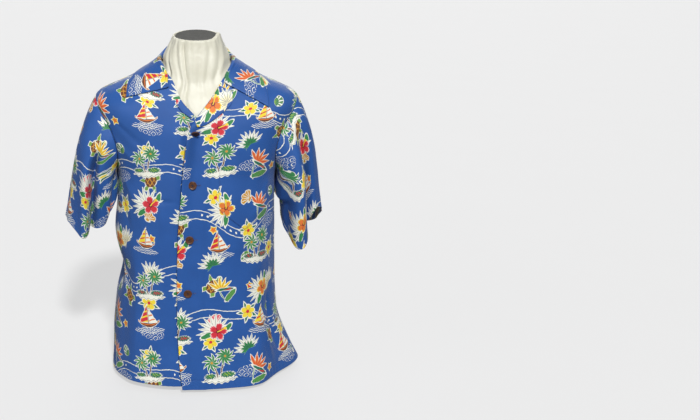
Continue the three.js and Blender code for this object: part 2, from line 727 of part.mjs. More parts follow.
// Grid directions of a sheet whose face looks along rows x columns, for its wall.
function gridSpots(points) {
  const rows = points.length;
  const columns = points[0].length;
  return points.map((row, j) =>
    row.map((point, i) => {
      const before = row[Math.max(0, i - 1)];
      const after = row[Math.min(columns - 1, i + 1)];
      const below = points[Math.max(0, j - 1)][i];
      const above = points[Math.min(rows - 1, j + 1)][i];
      const normal = after.clone().sub(before).cross(above.clone().sub(below));
      return { point, normal: normal.normalize() };
    }),
  );
}

// Collar. One of its cross-sections, from its seam over the roll to its outer edge.
function collarSection(station) {
  const rows = station < 0 ? COLLAR_RIGHT : COLLAR_LEFT;
  const at = valuesAt(rows, Math.abs(station));
  const { point: seam, normal } = bodySpot(at.angle, at.along);
  const outwards = new Vector3(seam.x * COLLAR_SPREAD, seam.y, 0).normalize();
  const up = new Vector3(0, 0, 1);
  const foot = seam.clone().addScaledVector(normal, LAY_GAP).addScaledVector(up, LAY_GAP);
  const section = [];
  for (let k = 0; k < STAND_ROWS; k++) {
    section.push(foot.clone().addScaledVector(up, (at.stand * k) / STAND_ROWS));
  }
  const centre = foot.clone().addScaledVector(up, at.stand).addScaledVector(outwards, ROLL);
  for (let k = 0; k <= ROLL_ROWS; k++) {
    const turn = (Math.PI * k) / ROLL_ROWS;
    section.push(
      centre
        .clone()
        .addScaledVector(outwards, -ROLL * Math.cos(turn))
        .addScaledVector(up, ROLL * Math.sin(turn)),
    );
  }
  const start = section.at(-1);
  const edge = new Vector3(at.edgeX, at.edgeY, at.edgeZ);
  for (let k = 1; k <= FALL_ROWS; k++) {
    section.push(heldOff(start.clone().lerp(edge, k / FALL_ROWS), LAY_GAP + WALL));
  }
  return section;
}
const collarSections = Array.from({ length: COLLAR_COLUMNS + 1 }, (_, i) =>
  collarSection(lerp(-COLLAR_END, COLLAR_END, i / COLLAR_COLUMNS)),
);
add("collar", clothWall(gridSpots(collarSections)), cloth());

// Lapels
function lapel(rows, lift) {
  const last = rows.at(-1).row;
  const spots = Array.from({ length: LAPEL_ROWS + 1 }, (_, j) => {
    const at = valuesAt(rows, (last * j) / LAPEL_ROWS);
    return Array.from({ length: LAPEL_COLUMNS + 1 }, (_, i) => {
      const x = lerp(at.rollX, at.edgeX, i / LAPEL_COLUMNS);
      const z = lerp(at.rollZ, at.edgeZ, i / LAPEL_COLUMNS);
      const [angle, along] = frontPlace(x, z);
      return bodySpot(angle, along, lift(x, along) + LAY_GAP + WALL);
    });
  });
  return clothWall(spots);
}
add("lapel_left", lapel(LAPEL_LEFT, lapLift), cloth());
add("lapel_right", lapel(LAPEL_RIGHT, () => 0), cloth());

// Pocket
function pocket() {
  const span = POCKET.outer - POCKET.inner;
  const spots = Array.from({ length: POCKET_ROWS + 1 }, (_, j) =>
    Array.from({ length: POCKET_COLUMNS + 1 }, (_, i) => {
      const x = POCKET.inner + (span * i) / POCKET_COLUMNS;
      const top = POCKET.top - POCKET.drop * (x - POCKET.inner);
      const reach = x < POCKET.middle ? POCKET.middle - POCKET.inner : POCKET.outer - POCKET.middle;
      const toPoint = 1 - Math.abs(x - POCKET.middle) / reach;
      const depth = lerp(POCKET.side, POCKET.point, toPoint);
      const [angle, along] = frontPlace(x, top - (depth * j) / POCKET_ROWS);
      const lift = lerp(POCKET_LIFT.inner, POCKET_LIFT.outer, i / POCKET_COLUMNS);
      return bodySpot(angle, along, lift + WALL);
    }),
  );
  return clothWall(spots);
}
add("pocket", pocket(), cloth());

// Buttons
for (const { name, x, z } of BUTTONS) {
  const profile = BUTTON_PROFILE.map(([r, h]) => new THREE.Vector2(r, h));
  const geometry = new THREE.LatheGeometry(profile, BUTTON_SIDES);
  const mesh = add(name, geometry, material(BUTTON_COLOUR, 0.4));
  const [angle, along] = frontPlace(x, z);
  const { point, normal } = bodySpot(angle, along, lapLift(x, along) + LAY_GAP / 2);
  mesh.position.copy(point);
  mesh.quaternion.setFromUnitVectors(new Vector3(0, 1, 0), normal);
}

// Dress form. A closed stack of rings with a flat base, and a recess sunk into its top.
function roundedStack(rings) {
  const vertices = rings.flat();
  const sides = rings[0].length;
  const triangles = [];
  for (let j = 0; j < rings.length - 1; j++) {
    for (let i = 0; i < sides; i++) {
      const next = (i + 1) % sides;
      const [a, b] = [j * sides + i, j * sides + next];
      triangles.push([a, a + sides, b + sides], [a, b + sides, b]);
    }
  }
  for (const ring of [0, rings.length - 1]) {
    const middle = rings[ring]
      .reduce((sum, point) => sum.add(point), new Vector3())
      .divideScalar(sides);
    vertices.push(middle);
    for (let i = 0; i < sides; i++) {
      const pair = [ring * sides + i, ring * sides + ((i + 1) % sides)];
      triangles.push([vertices.length - 1, ...(ring ? pair.reverse() : pair)]);
    }
  }
  return solid(vertices, triangles);
}

const levelRing = ({ half, z }) => ({
  half,
  front: half,
  back: half,
  zFront: z,
  zSide: z,
  zBack: z,
});
const formRings = FORM_RINGS.flatMap(({ up }, j) => {
  const next = FORM_RINGS[j + 1]?.up;
  const places = next === undefined ? [up] : [up, (up + next) / 2];
  return places.map((place) => valuesAt(FORM_RINGS, place));
});
formRings.push(levelRing(NECK_RIM), levelRing(NECK_RECESS));
const formPoints = formRings.map((ring) =>
  Array.from({ length: FORM_SIDES }, (_, i) => ringPoint(ring, (360 * i) / FORM_SIDES)),
);
add("form_torso", roundedStack(formPoints), material(SATIN_COLOUR, 0.45));

const cap = add(
  "form_neck_cap",
  new THREE.CylinderGeometry(CAP.radius, CAP.radius, CAP.thickness, FORM_SIDES),
  material(CAP_COLOUR, 0.7),
);
cap.rotation.x = Math.PI / 2;
cap.position.z = NECK_RECESS.z + CAP.gap + CAP.thickness / 2;

export default shirt;
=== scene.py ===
"""A hawaiian shirt on a dress form: fine cloth, print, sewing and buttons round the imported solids.

Shapes are worked out in millimetres and made in metres. The front faces -Y and +X is the wearer's
left. A place on the shirt's body is an angle in degrees, 0 at the wearer's left side and 90 at the
front, and "along", the length in millimetres up the panel from the hem.
"""
import math
from functools import partialmethod

import bmesh
import bpy
import numpy as np
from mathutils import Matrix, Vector


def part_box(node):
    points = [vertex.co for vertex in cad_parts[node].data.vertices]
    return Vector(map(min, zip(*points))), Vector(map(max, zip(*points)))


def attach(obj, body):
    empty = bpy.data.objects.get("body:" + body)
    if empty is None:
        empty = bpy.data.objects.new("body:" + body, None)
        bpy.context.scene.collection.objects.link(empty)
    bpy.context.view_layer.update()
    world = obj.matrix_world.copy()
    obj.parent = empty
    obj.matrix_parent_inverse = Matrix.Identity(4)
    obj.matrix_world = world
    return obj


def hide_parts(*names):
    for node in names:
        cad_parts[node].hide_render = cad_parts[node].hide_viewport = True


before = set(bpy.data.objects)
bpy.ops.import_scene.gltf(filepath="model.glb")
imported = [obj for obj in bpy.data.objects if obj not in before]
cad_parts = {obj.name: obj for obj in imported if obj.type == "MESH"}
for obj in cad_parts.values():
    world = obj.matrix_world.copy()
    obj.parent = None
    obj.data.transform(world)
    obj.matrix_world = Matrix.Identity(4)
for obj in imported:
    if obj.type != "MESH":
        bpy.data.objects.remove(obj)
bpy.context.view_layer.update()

MM = 0.001


# Tables

class Table:
    """Rows with named columns. Values follow smooth curves between the places in the first column."""

    def __init__(self, columns, rows):
        self.names = columns.split()[1:]
        rows = np.array(rows, float)
        self.places = rows[:, 0]
        self.values = rows[:, 1:]
        above = np.minimum(np.arange(len(rows)) + 1, len(rows) - 1)
        below = np.maximum(np.arange(len(rows)) - 1, 0)
        run = (self.places[above] - self.places[below])[:, None]
        self.slopes = (self.values[above] - self.values[below]) / run

    def at(self, place):
        place = np.asarray(place, float)
        k = np.clip(np.searchsorted(self.places, place, side="right") - 1, 0, len(self.places) - 2)
        span = (self.places[k + 1] - self.places[k])[..., None]
        t = np.clip((place[..., None] - self.places[k][..., None]) / span, 0, 1)
        value = (
            self.values[k]
            + (self.values[k + 1] - self.values[k]) * t * t * (3 - 2 * t)
            + span * self.slopes[k] * t * (1 - t) ** 2
            - span * self.slopes[k + 1] * t * t * (1 - t)
        )
        return dict(zip(self.names, np.moveaxis(value, -1, 0)))


BODY_RINGS = Table("along half front back zFront zSide zBack", [
    (0, 190, 151, 151, 11, 14, 10),
    (100, 182, 145, 147, 114, 114, 114),
    (230, 174, 139, 142, 244, 244, 244),
    (340, 171, 137, 141, 354, 354, 354),
    (410, 170, 134, 140, 424, 424, 424),
    (456, 172, 129, 138, 470, 470, 474),
    (546, 203, 118, 130, 550, 566, 578),
    (600, 214, 107, 117, 594, 627, 633),
    (660, 142, 92, 97, 630, 665, 675),
    (710, 75, 76, 72, 662, 699, 707),
])
SQUARENESS = 0.12
UNDERARM, SHOULDER, NECK = 456, 600, 710
ARMHOLE_ANGLE = 33
YOKE_SHARE = 5 / 6
FLARE = {"angle": -9, "spread": 23, "top": 142, "rise": 47, "power": 1.35}

# Broad folds, as in the solids: angle, spread, along, reach, rise
BODY_FOLDS = [
    (174, 22, 234, 44, -19),
    (172, 22, 325, 55, 7),
    (207, 17, 90, 115, 20),
    (208, 15, 345, 90, 13),
    (25, 13, 150, 110, -7),
    (50, 13, 20, 100, 9),
    (132, 8, 120, 130, 4),
    (147, 7, 190, 120, -4),
    (232, 8, 150, 150, 4),
    (249, 7, 200, 150, -4),
    (292, 7, 180, 160, -4),
    (309, 8, 130, 140, 4),
    (334, 9, 150, 120, -6),
]

# Creases of the worn cloth: from angle, along to angle, along, with width and rise in millimetres
CREASES = [
    (124, 408, 101, 409, 3.5, -1.3),
    (113, 404, 112, 338, 8, 1.7),
    (152, 452, 128, 384, 10, 2.0),
    (160, 440, 140, 330, 9, -1.8),
    (168, 300, 148, 170, 12, 2.4),
    (141, 262, 133, 60, 14, -2.2),
    (121, 252, 117, 40, 16, 1.9),
    (105, 200, 106, 20, 14, -1.3),
    (147, 536, 126, 472, 9, 1.8),
    (141, 572, 118, 520, 8, -1.4),
    (85, 352, 72, 353, 3, -1.0),
    (50, 172, 25, 16, 8, 5.0),
    (30, 200, 15, 30, 9, -9.0),
    (62, 122, 50, 8, 10, -2.2),
    (30, 268, 12, 152, 10, 2.2),
    (31, 446, 52, 362, 10, 2.0),
    (20, 430, 38, 322, 9, -1.8),
    (68, 548, 56, 470, 10, 1.4),
    (66, 430, 62, 250, 16, 1.7),
    (81, 300, 83, 60, 16, -1.4),
    (322, 420, 318, 152, 12, -2.2),
    (286, 488, 284, 200, 14, 2.0),
    (270, 520, 271, 118, 10, -1.5),
    (258, 462, 257, 140, 12, 1.6),
    (231, 440, 233, 122, 12, -2.4),
    (219, 404, 222, 160, 10, 2.1),
    (311, 27, 268, 26, 4, -2.4),
    (313, 8, 266, 9, 7, 3.0),
    (345, 446, 324, 352, 10, 2.0),
    (198, 452, 216, 356, 10, 2.0),
    (189, 430, 206, 300, 9, -1.9),
    (338, 300, 322, 130, 12, 2.2),
    (300, 560, 318, 480, 11, 1.4),
    (240, 566, 222, 486, 11, 1.5),
]
DEGREE = 2.9  # the length round the body for one degree
UNEVEN = 0.42  # the height of the cloth's soft unevenness, which ends below the neck
CALM = (640, 700)

LEFT_EDGE = Table("along x", [
    (0, -30), (60, -36), (160, -40), (330, -38), (420, -31), (500, -24), (560, -17), (592, -6),
])
LAP = 44
LAP_LIFT, LAP_CLEAR, LAP_EASE = 2.4, 2, 16
LAP_FADE = (585, 640)
HEM_STEP = 6
# How far the left front's free edge stands off, and how far the right front lies back beside it
EDGE_STAND = Table("along rise", [
    (0, 3.5), (120, 4.5), (330, 5.5), (430, 10), (520, 16), (575, 14), (600, 0),
])
EDGE_TROUGH = Table("along sink", [
    (0, 2), (120, 1.5), (330, 2), (430, 4), (520, 7), (575, 6), (600, 0),
])
EDGE_STAND_WIDTH, EDGE_TROUGH_WIDTH = 15, 9

LEFT_NECKLINE = Table("z x", [
    (590, -5), (612, 13), (631, 28), (650, 41), (668, 53), (684, 66), (699, 75),
])
RIGHT_NECKLINE = Table("z x", [
    (590, 5), (612, -15), (628, -30), (650, -41), (668, -50), (684, -64), (699, -75),
])

CUFF_LEFT = Table("turn x y z", [
    (0, 279, 22, 362), (30, 272, -12, 379), (55, 258, -36, 383), (76, 246, -52, 345), (90, 238, -60, 318),
    (120, 214, -57, 308), (155, 189, -29, 342), (180, 184, 0, 385), (208, 189, 34, 345),
    (238, 207, 60, 311), (275, 236, 66, 323), (320, 267, 54, 334), (360, 279, 22, 362),
])
CUFF_RIGHT = Table("turn x y z", [
    (0, -289, 2, 359), (45, -272, -38, 347), (90, -243, -56, 327), (120, -218, -50, 338),
    (150, -192, -29, 359), (180, -185, 0, 388), (210, -193, 30, 358), (240, -220, 52, 331),
    (275, -250, 56, 328), (318, -277, 39, 345), (360, -289, 2, 359),
])
SLEEVE_LEAVE = {"out": 0.5, "outBroad": 0.35, "forward": 0.28, "down": -0.86, "downBroad": 0.3}
SLEEVE_ARRIVE = {"out": 0.2, "forward": -0.02, "down": -0.98}
UNDERARM_HUG = {"turn": 180, "spread": 42}
HUG_LEFT = {"leave": 0.3, "arrive": -0.15, "rise": 15, "from": 0.48, "to": 0.6}
HUG_RIGHT = {"leave": 0.56, "arrive": 0.62, "rise": 0, "from": 0.46, "to": 0.6}

# Lengthwise folds of the sleeves: turn at the armhole, turn at the cuff, spread, start, ramp, rise
LEFT_SLEEVE_FOLDS = [
    (54, 72, 10, 0.08, 0.3, -34),
    (92, 106, 18, 0.15, 0.4, 12),
    (250, 262, 22, 0.3, 0.45, -9),
    (300, 306, 20, 0.2, 0.45, 6),
    (20, 30, 9, 0.1, 0.3, 2.2),
    (335, 340, 10, 0.3, 0.4, -2.5),
    (130, 140, 10, 0.2, 0.4, -3),
    (215, 225, 10, 0.3, 0.4, 3),
    (78, 98, 7, 0.35, 0.3, 4),
]
RIGHT_SLEEVE_FOLDS = [
    (82, 113, 9, 0.1, 0.3, -32),
    (62, 90, 16, 0.15, 0.4, 9),
    (256, 270, 22, 0.3, 0.45, -9),
    (306, 312, 20, 0.25, 0.45, 6),
    (24, 26, 9, 0.15, 0.3, 2),
    (338, 336, 10, 0.25, 0.4, -2.2),
    (128, 136, 9, 0.15, 0.3, 6),
    (212, 220, 10, 0.3, 0.4, 3),
    (148, 152, 6, 0.1, 0.3, -12),
]

COLLAR_LEFT = Table("station angle along stand edgeX edgeY edgeZ", [
    (0, 270, NECK, 31, 0, 86, 706),
    (1, 300, NECK, 22, 58, 75, 701),
    (2, 333, NECK, 4, 95, 44, 687),
    (3, 360, NECK, 2, 122, 0, 676),
    (4, 404, 705, 2, 141, -46, 652),
    (5, 418, 692, 2, 149, -84, 612),
])
COLLAR_RIGHT = Table("station angle along stand edgeX edgeY edgeZ", [
    (0, 270, NECK, 31, 0, 86, 706),
    (1, 240, NECK, 24, -58, 75, 701),
    (2, 207, NECK, 5, -95, 44, 687),
    (3, 180, NECK, 3, -122, 0, 676),
    (4, 136, 705, 2, -141, -40, 658),
    (5, 118, 682, 2, -144, -72, 631),
])
COLLAR_END = 5
COLLAR_SPREAD = 1.5
COLLAR_ROLL, COLLAR_END_ROLL = 3.2, 1.3
COLLAR_TAPER = 3.4
COLLAR_CLEAR = 2.1
COLLAR_THICK = 1.6
LAPEL_THICK, POCKET_THICK = 1.2, 0.8

LAPEL_LEFT = Table("row rollX rollZ edgeX edgeZ", [
    (0, -3, 590, 2, 577),
    (1, 9, 606, 18, 581),
    (2, 21, 621, 38, 593),
    (3, 32, 635, 56, 607),
    (4, 40, 647, 71, 621),
    (5, 47, 656, 74, 643),
])
LAPEL_RIGHT = Table("row rollX rollZ edgeX edgeZ", [
    (0, -5, 602, -11, 594),
    (1, -9, 606, -18, 599),
    (2, -17, 613, -28, 606),
    (3, -27, 624, -39, 619),
    (4, -32, 631, -42, 630),
])

POCKET = {"inner": 46, "outer": 156, "top": 499, "drop": 0.07, "side": 91, "point": 134, "middle": 100}
BUTTONS = [("button_1", -2, 565), ("button_2", -8, 460), ("button_3", -14, 345), ("button_4", -18, 228)]

FORM_RINGS = Table("up half front back zFront zSide zBack", [
    (0, 156, 94, 98, 0, 0, 0),
    (8, 160, 98, 102, 8, 8, 8),
    (110, 163, 106, 110, 110, 110, 110),
    (245, 146, 98, 102, 245, 245, 245),
    (350, 152, 107, 112, 350, 350, 350),
    (440, 160, 116, 122, 440, 440, 440),
    (520, 174, 112, 122, 512, 520, 530),
    (588, 198, 108, 118, 560, 587, 592),
    (628, 208, 103, 112.5, 592, 622, 629),
    (706, 141, 88.5, 93.5, 628, 661, 672),
    (782, 72.5, 71.5, 69, 658, 695, 703),
    (802, 67, 63, 60, 690, 714, 722),
    (826, 58, 55, 54, 728, 736, 740),
    (849, 50, 50, 50, 757, 757, 757),
])

CLOTH = 0.9


# Small helpers on arrays

def lerp(a, b, t):
    return a + (b - a) * t


def smoothstep(x, low, high):
    t = np.clip((np.asarray(x, float) - low) / (high - low), 0, 1)
    return t * t * (3 - 2 * t)


def bell(distance, width):
    return np.exp(-((distance / width) ** 2))


def turn_between(angle, other):
    return (angle - other + 180) % 360 - 180


def unit(v):
    return v / np.maximum(np.linalg.norm(v, axis=-1, keepdims=True), 1e-9)


def sin(degrees):
    return np.sin(np.radians(degrees))


def cos(degrees):
    return np.cos(np.radians(degrees))


# The surface of the shirt's body

def ring_point(ring, angle):
    c, s = cos(angle), sin(angle)
    depth = np.where(s > 0, ring["front"], ring["back"])
    z_end = np.where(s > 0, ring["zFront"], ring["zBack"])
    x = ring["half"] * c * (1 + SQUARENESS * s * s)
    y = -depth * s * (1 + SQUARENESS * c * c)
    return np.stack(np.broadcast_arrays(x, y, lerp(ring["zSide"], z_end, s * s)), axis=-1)


def body_point(angle, along):
    point = ring_point(BODY_RINGS.at(along), angle)
    outwards = unit(point * (1, 1, 0))
    flare = np.maximum(0, (FLARE["top"] - along) / FLARE["top"]) ** FLARE["power"]
    rise = FLARE["rise"] * flare * bell(turn_between(angle, FLARE["angle"]), FLARE["spread"])
    for middle, spread, height, reach, depth in BODY_FOLDS:
        rise = rise + depth * bell(turn_between(angle, middle), spread) * bell(along - height, reach)
    return point + outwards * rise[..., None]


def body_normal(angle, along):
    above = np.minimum(NECK, along + 2)
    across = body_point(angle + 0.5, along) - body_point(angle - 0.5, along)
    upwards = body_point(angle, above) - body_point(angle, above - 4)
    return unit(np.cross(upwards, across))


def crease_rise(angle, along):
    """How far the creases and the soft unevenness of the cloth stand off the smooth body."""
    rise = np.zeros(np.broadcast(angle, along).shape)
    for a1, v1, a2, v2, width, depth in CREASES:
        x, y = turn_between(angle, a1) * DEGREE, along - v1
        dx, dy = turn_between(a2, a1) * DEGREE, v2 - v1
        length = math.hypot(dx, dy)
        t = (x * dx + y * dy) / length
        side = (x * dy - y * dx) / length
        fade = smoothstep(t, -width, length * 0.3) * (1 - smoothstep(t, length * 0.6, length + width))
        rise = rise + depth * bell(side, width * (0.75 + 0.5 * np.clip(t / length, 0, 1))) * fade
    wave = (
        sin(angle * 7 + along * 1.1) * sin(along * 2.3 + 40)
        + 0.7 * sin(angle * 11 - along * 1.7 + 80) * sin(along * 1.3 + angle * 3)
        + 0.5 * sin(angle * 19 + along * 0.6) * sin(along * 3.1 - angle * 5 + 10)
    )
    return (rise + UNEVEN * wave) * (1 - smoothstep(along, *CALM))


def body_spot(angle, along, lift=0):
    angle, along = np.broadcast_arrays(np.asarray(angle, float), np.asarray(along, float))
    height = np.asarray(lift + crease_rise(angle, along))
    return body_point(angle, along) + body_normal(angle, along) * height[..., None]


def halved(shape, most, is_low):
    """The values between 0 and most where is_low stops being true, found by halving."""
    low, high = np.zeros(shape), np.full(shape, float(most))
    for _ in range(30):
        middle = (low + high) / 2
        up = is_low(middle)
        low, high = np.where(up, middle, low), np.where(up, high, middle)
    return (low + high) / 2


def front_angle(x, along):
    """The angle at which the body is this far to the side, on its front."""
    half = BODY_RINGS.at(along)["half"]
    return halved(np.shape(x), 180, lambda a: half * cos(a) * (1 + SQUARENESS * sin(a) ** 2) > x)


def front_place(x, z):
    """The angle and the length up the front of the place that is seen at x, z."""
    x, z = np.broadcast_arrays(np.asarray(x, float), np.asarray(z, float))
    along = halved(x.shape, NECK, lambda v: body_point(front_angle(x, v), v)[..., 2] < z)
    return front_angle(x, along), along


def side_angle(angle, side):
    return angle if side > 0 else 180 - angle


def armhole_place(share, back):
    turn = np.pi * np.asarray(share, float)
    angle = ARMHOLE_ANGLE * np.sin(turn)
    along = lerp(UNDERARM, SHOULDER, (1 - np.cos(turn)) / 2)
    if back:
        seam = np.pi * YOKE_SHARE
        seam_along = lerp(UNDERARM, SHOULDER, (1 - math.cos(seam)) / 2)
        top = np.clip((share - YOKE_SHARE) / (1 - YOKE_SHARE), 0, 1)
        over = np.asarray(share) > YOKE_SHARE
        angle = np.where(over, ARMHOLE_ANGLE * math.sin(seam) * (1 - top), angle)
        along = np.where(over, lerp(seam_along, SHOULDER, top), along)
        angle = -angle
    return angle, along


def side_place(t, side, back):
    """The side seam for t from 0 to 1, then the armhole up to t = 2."""
    share = np.clip(t - 1, 0, 1) * (YOKE_SHARE if back else 1)
    angle, along = armhole_place(share, back)
    angle = np.where(t < 1, 0, angle)
    along = np.where(t < 1, UNDERARM * t, along)
    return side_angle(angle, side), along


LOW_STEPS, BREAK = 11, 1 + 8 / 18  # steps up to the underarm, and where the roll line starts above it


def front_edge_place(t, side):
    """A front's edge up to the break point, then its roll line and neck seam up to t = 2."""
    neckline = LEFT_NECKLINE if side > 0 else RIGHT_NECKLINE
    offset = 0 if side > 0 else LAP
    break_x, break_z = neckline.values[0, 0], neckline.places[0]
    break_along = float(front_place(break_x, break_z)[1])
    along = UNDERARM * t
    if side < 0:
        first = lerp(HEM_STEP, UNDERARM / LOW_STEPS, t * LOW_STEPS)
        along = np.where(t < 1 / LOW_STEPS, first, along)
    middle = np.clip((t - 1) / (BREAK - 1), 0, 1)
    along = np.where(t > 1, lerp(UNDERARM, break_along, middle), along)
    lean = (break_x - LEFT_EDGE.at(break_along)["x"] - offset) * middle ** 3
    angle = front_angle(LEFT_EDGE.at(along)["x"] + offset + lean, along)
    top = np.clip((t - BREAK) / (2 - BREAK), 0, 1)
    z = lerp(break_z, neckline.places[-1], top)
    neck_angle, neck_along = front_place(neckline.at(z)["x"], z)
    return np.where(t > BREAK, neck_angle, angle), np.where(t > BREAK, neck_along, along)


def lap_lift(x, along):
    """How far the left front stands off, over the right front and at its own free edge."""
    edge = LEFT_EDGE.at(along)["x"]
    landing = edge + LAP + LAP_CLEAR
    fade = 1 - smoothstep(along, *LAP_FADE)
    lap = LAP_LIFT * (1 - smoothstep(x, landing, landing + LAP_EASE)) * fade
    return lap + EDGE_STAND.at(along)["rise"] * bell(np.maximum(0, x - edge), EDGE_STAND_WIDTH)


def trough_lift(x, along):
    """How far the right front lies back beside and under the left front's edge."""
    near = bell(x - LEFT_EDGE.at(along)["x"], EDGE_TROUGH_WIDTH)
    return -EDGE_TROUGH.at(along)["sink"] * near


# Meshes

def shares(count, length, fine=(0.7, 1.5, 2.6)):
    """Even shares from 0 to 1, with a few close to both ends, for a seam's soft edge."""
    ends = np.array(fine) / length
    inner = np.linspace(0, 1, count + 1)[1:-1]
    inner = inner[(inner > ends[-1] * 1.4) & (inner < 1 - ends[-1] * 1.4)]
    return np.concatenate([[0], ends, inner, 1 - ends[::-1], [1]])


def slopes_of(points, around=False):
    """Steps across the columns and down the rows of a grid of points."""
    if around:
        across = np.roll(points, -1, axis=1) - np.roll(points, 1, axis=1)
    else:
        across = np.gradient(points, axis=1)
    return across, np.gradient(points, axis=0)


def grid_normals(points, around=False, outwards=None):
    across, down = slopes_of(points, around)
    normals = unit(np.cross(across, down))
    if outwards is not None and np.sum(normals * outwards) < 0:
        normals = -normals
    return normals


def lengths(points, axis):
    """Lengths along the rows (axis 1) or the columns (axis 0) of a grid, from its start."""
    steps = np.linalg.norm(np.diff(points, axis=axis), axis=-1)
    start = np.zeros_like(np.take(steps, [0], axis=axis))
    return np.concatenate([start, np.cumsum(steps, axis=axis)], axis=axis)


def tucked(points, normals, edges, depth=0.8, width=2.4):
    """Rolls the named edges of a grid in towards their seams."""
    total = np.zeros(points.shape[:2])
    across, up = lengths(points, 1), lengths(points, 0)
    distance = {
        "first": across,
        "last": across[:, -1:] - across,
        "bottom": up,
        "top": up[-1:] - up,
    }
    for edge in edges:
        total = np.maximum(total, np.clip(1 - distance[edge] / width, 0, 1) ** 2)
    return points - normals * (depth * total)[..., None]


def doubled(distance, turn_up):
    """The cloth's thickness, double within the turn-up at an edge."""
    return CLOTH * (1 + 0.9 * (1 - smoothstep(distance, turn_up - 0.6, turn_up + 0.6)))


def make_shell(name, points, pattern, materials, thickness=CLOTH, around=False, outwards=None):
    """A thin closed shell from a grid of outer points, with its reverse in the second material.

    pattern holds the flat coordinates of the cloth in millimetres, with one more column than the
    points where the grid closes on itself.
    """
    normals = grid_normals(points, around, outwards)
    across, down = slopes_of(points, around)
    flip = np.sum(np.cross(across, down) * normals) < 0
    rows, columns = points.shape[:2]
    count = rows * columns
    inner = points - normals * (thickness if np.ndim(thickness) == 0 else thickness[..., None])
    vertices = np.concatenate([points.reshape(-1, 3), inner.reshape(-1, 3)]) * MM
    r, c = np.meshgrid(np.arange(rows - 1), np.arange(columns if around else columns - 1), indexing="ij")
    r, c = r.ravel(), c.ravel()
    corners = [(r, c), (r, c + 1), (r + 1, c + 1), (r + 1, c)]
    face = np.stack([i * columns + j % columns for i, j in corners], axis=1)
    bake = np.stack(np.meshgrid(np.linspace(0.006, 0.488, pattern.shape[1]),
                                np.linspace(0.006, 0.994, rows)), axis=-1)
    other = bake + (0.506, 0)
    quads, prints, bakes, slots = [], [], [], []

    def add(quad, print_uv, bake_uv, slot):
        order = [3, 2, 1, 0] if flip else [0, 1, 2, 3]
        quads.append(quad[:, order])
        prints.append(print_uv[:, order])
        bakes.append(bake_uv[:, order])
        slots.append(np.full(len(quad), slot))

    def grid_uv(grid):
        return np.stack([grid[i, j] for i, j in corners], axis=1)

    add(face, grid_uv(pattern), grid_uv(bake), 0)
    add(face[:, ::-1] + count, grid_uv(pattern)[:, ::-1], grid_uv(other)[:, ::-1], 1)

    def rim(line, line_uv, place, step):
        """Closes one edge: line runs with the faces on its left."""
        a, b = line[:-1], line[1:]
        quad = np.stack([b, a, a + count, b + count], axis=1)
        print_uv = np.stack([line_uv[1:], line_uv[:-1], line_uv[:-1], line_uv[1:]], axis=1)
        bake_uv = np.stack([place[1:], place[:-1], place[:-1] + step, place[1:] + step], axis=1)
        add(quad, print_uv, bake_uv, 0)

    wide = np.arange(columns + 1 if around else columns) % columns
    strip = 0.004
    rim(wide, pattern[0], bake[0] - (0, 0.001), np.array((0, -strip)))
    rim((rows - 1) * columns + wide[::-1], pattern[-1][::-1], bake[-1][::-1] + (0, 0.001),
        np.array((0, strip)))
    if not around:
        tall = np.arange(rows) * columns
        rim(tall[::-1], pattern[::-1, 0], bake[::-1, 0] - (0.001, 0), np.array((-strip, 0)))
        rim(tall + columns - 1, pattern[:, -1], bake[:, -1] + (0.001, 0), np.array((strip, 0)))

    mesh = bpy.data.meshes.new(name)
    mesh.from_pydata(vertices.tolist(), [], np.concatenate(quads).tolist())
    for layer, values in (("Pattern", np.concatenate(prints) * MM), ("OFBake", np.concatenate(bakes))):
        uv = mesh.uv_layers.new(name=layer)
        uv.data.foreach_set("uv", values.reshape(-1).astype(np.float32))
    mesh.polygons.foreach_set("material_index", np.concatenate(slots).astype(np.int32))
    mesh.polygons.foreach_set("use_smooth", np.ones(len(mesh.polygons), bool))
    for material in materials:
        mesh.materials.append(material)
    mesh.update()
    return show(name, mesh)


def show(name, mesh):
    piece = bpy.data.objects.new(name, mesh)
    bpy.context.scene.collection.objects.link(piece)
    return piece


# Materials: sums on node sockets

def tint(*levels):
    """A colour from 0 to 255 as seen, in the linear values that shaders take."""
    parts = (level / 255 for level in levels)
    return tuple(((c + 0.055) / 1.055) ** 2.4 if c > 0.04 else c / 12.92 for c in parts) + (1,)


class Sum:
    """A number in a node tree. Arithmetic with it adds Math nodes."""

    def __init__(self, tree, socket):
        self.tree, self.socket = tree, socket

    def math(self, operation, *others, clamp=False):
        node = self.tree.nodes.new("ShaderNodeMath")
        node.operation = operation
        node.use_clamp = clamp
        feed(self.tree, node.inputs, self, *others)
        return Sum(self.tree, node.outputs[0])

    def __rsub__(self, other):
        return self.math("MULTIPLY_ADD", -1.0, other)

    def wrap(self, half):
        return self.math("WRAP", half, -half)


for method, operation in (
    ("__add__", "ADD"), ("__radd__", "ADD"), ("__sub__", "SUBTRACT"), ("__mul__", "MULTIPLY"),
    ("__rmul__", "MULTIPLY"), ("__pow__", "POWER"), ("__abs__", "ABSOLUTE"), ("sin", "SINE"),
    ("cos", "COSINE"), ("most", "MAXIMUM"), ("least", "MINIMUM"),
):
    setattr(Sum, method, partialmethod(Sum.math, operation))


def feed(tree, sockets, *values):
    """Links or sets a node's inputs in order. None leaves one as it is."""
    for socket, value in zip(sockets, values):
        if isinstance(value, Sum):
            tree.links.new(value.socket, socket)
        elif isinstance(value, bpy.types.NodeSocket):
            tree.links.new(value, socket)
        elif value is not None:
            socket.default_value = value


def vector_math(tree, operation, *values):
    """Vectors stay vectors here: a node of another kind in between would make the shader too large."""
    node = tree.nodes.new("ShaderNodeVectorMath")
    node.operation = operation
    feed(tree, node.inputs, *values)
    return node.outputs["Value" if operation in ("LENGTH", "DISTANCE", "DOT_PRODUCT") else "Vector"]


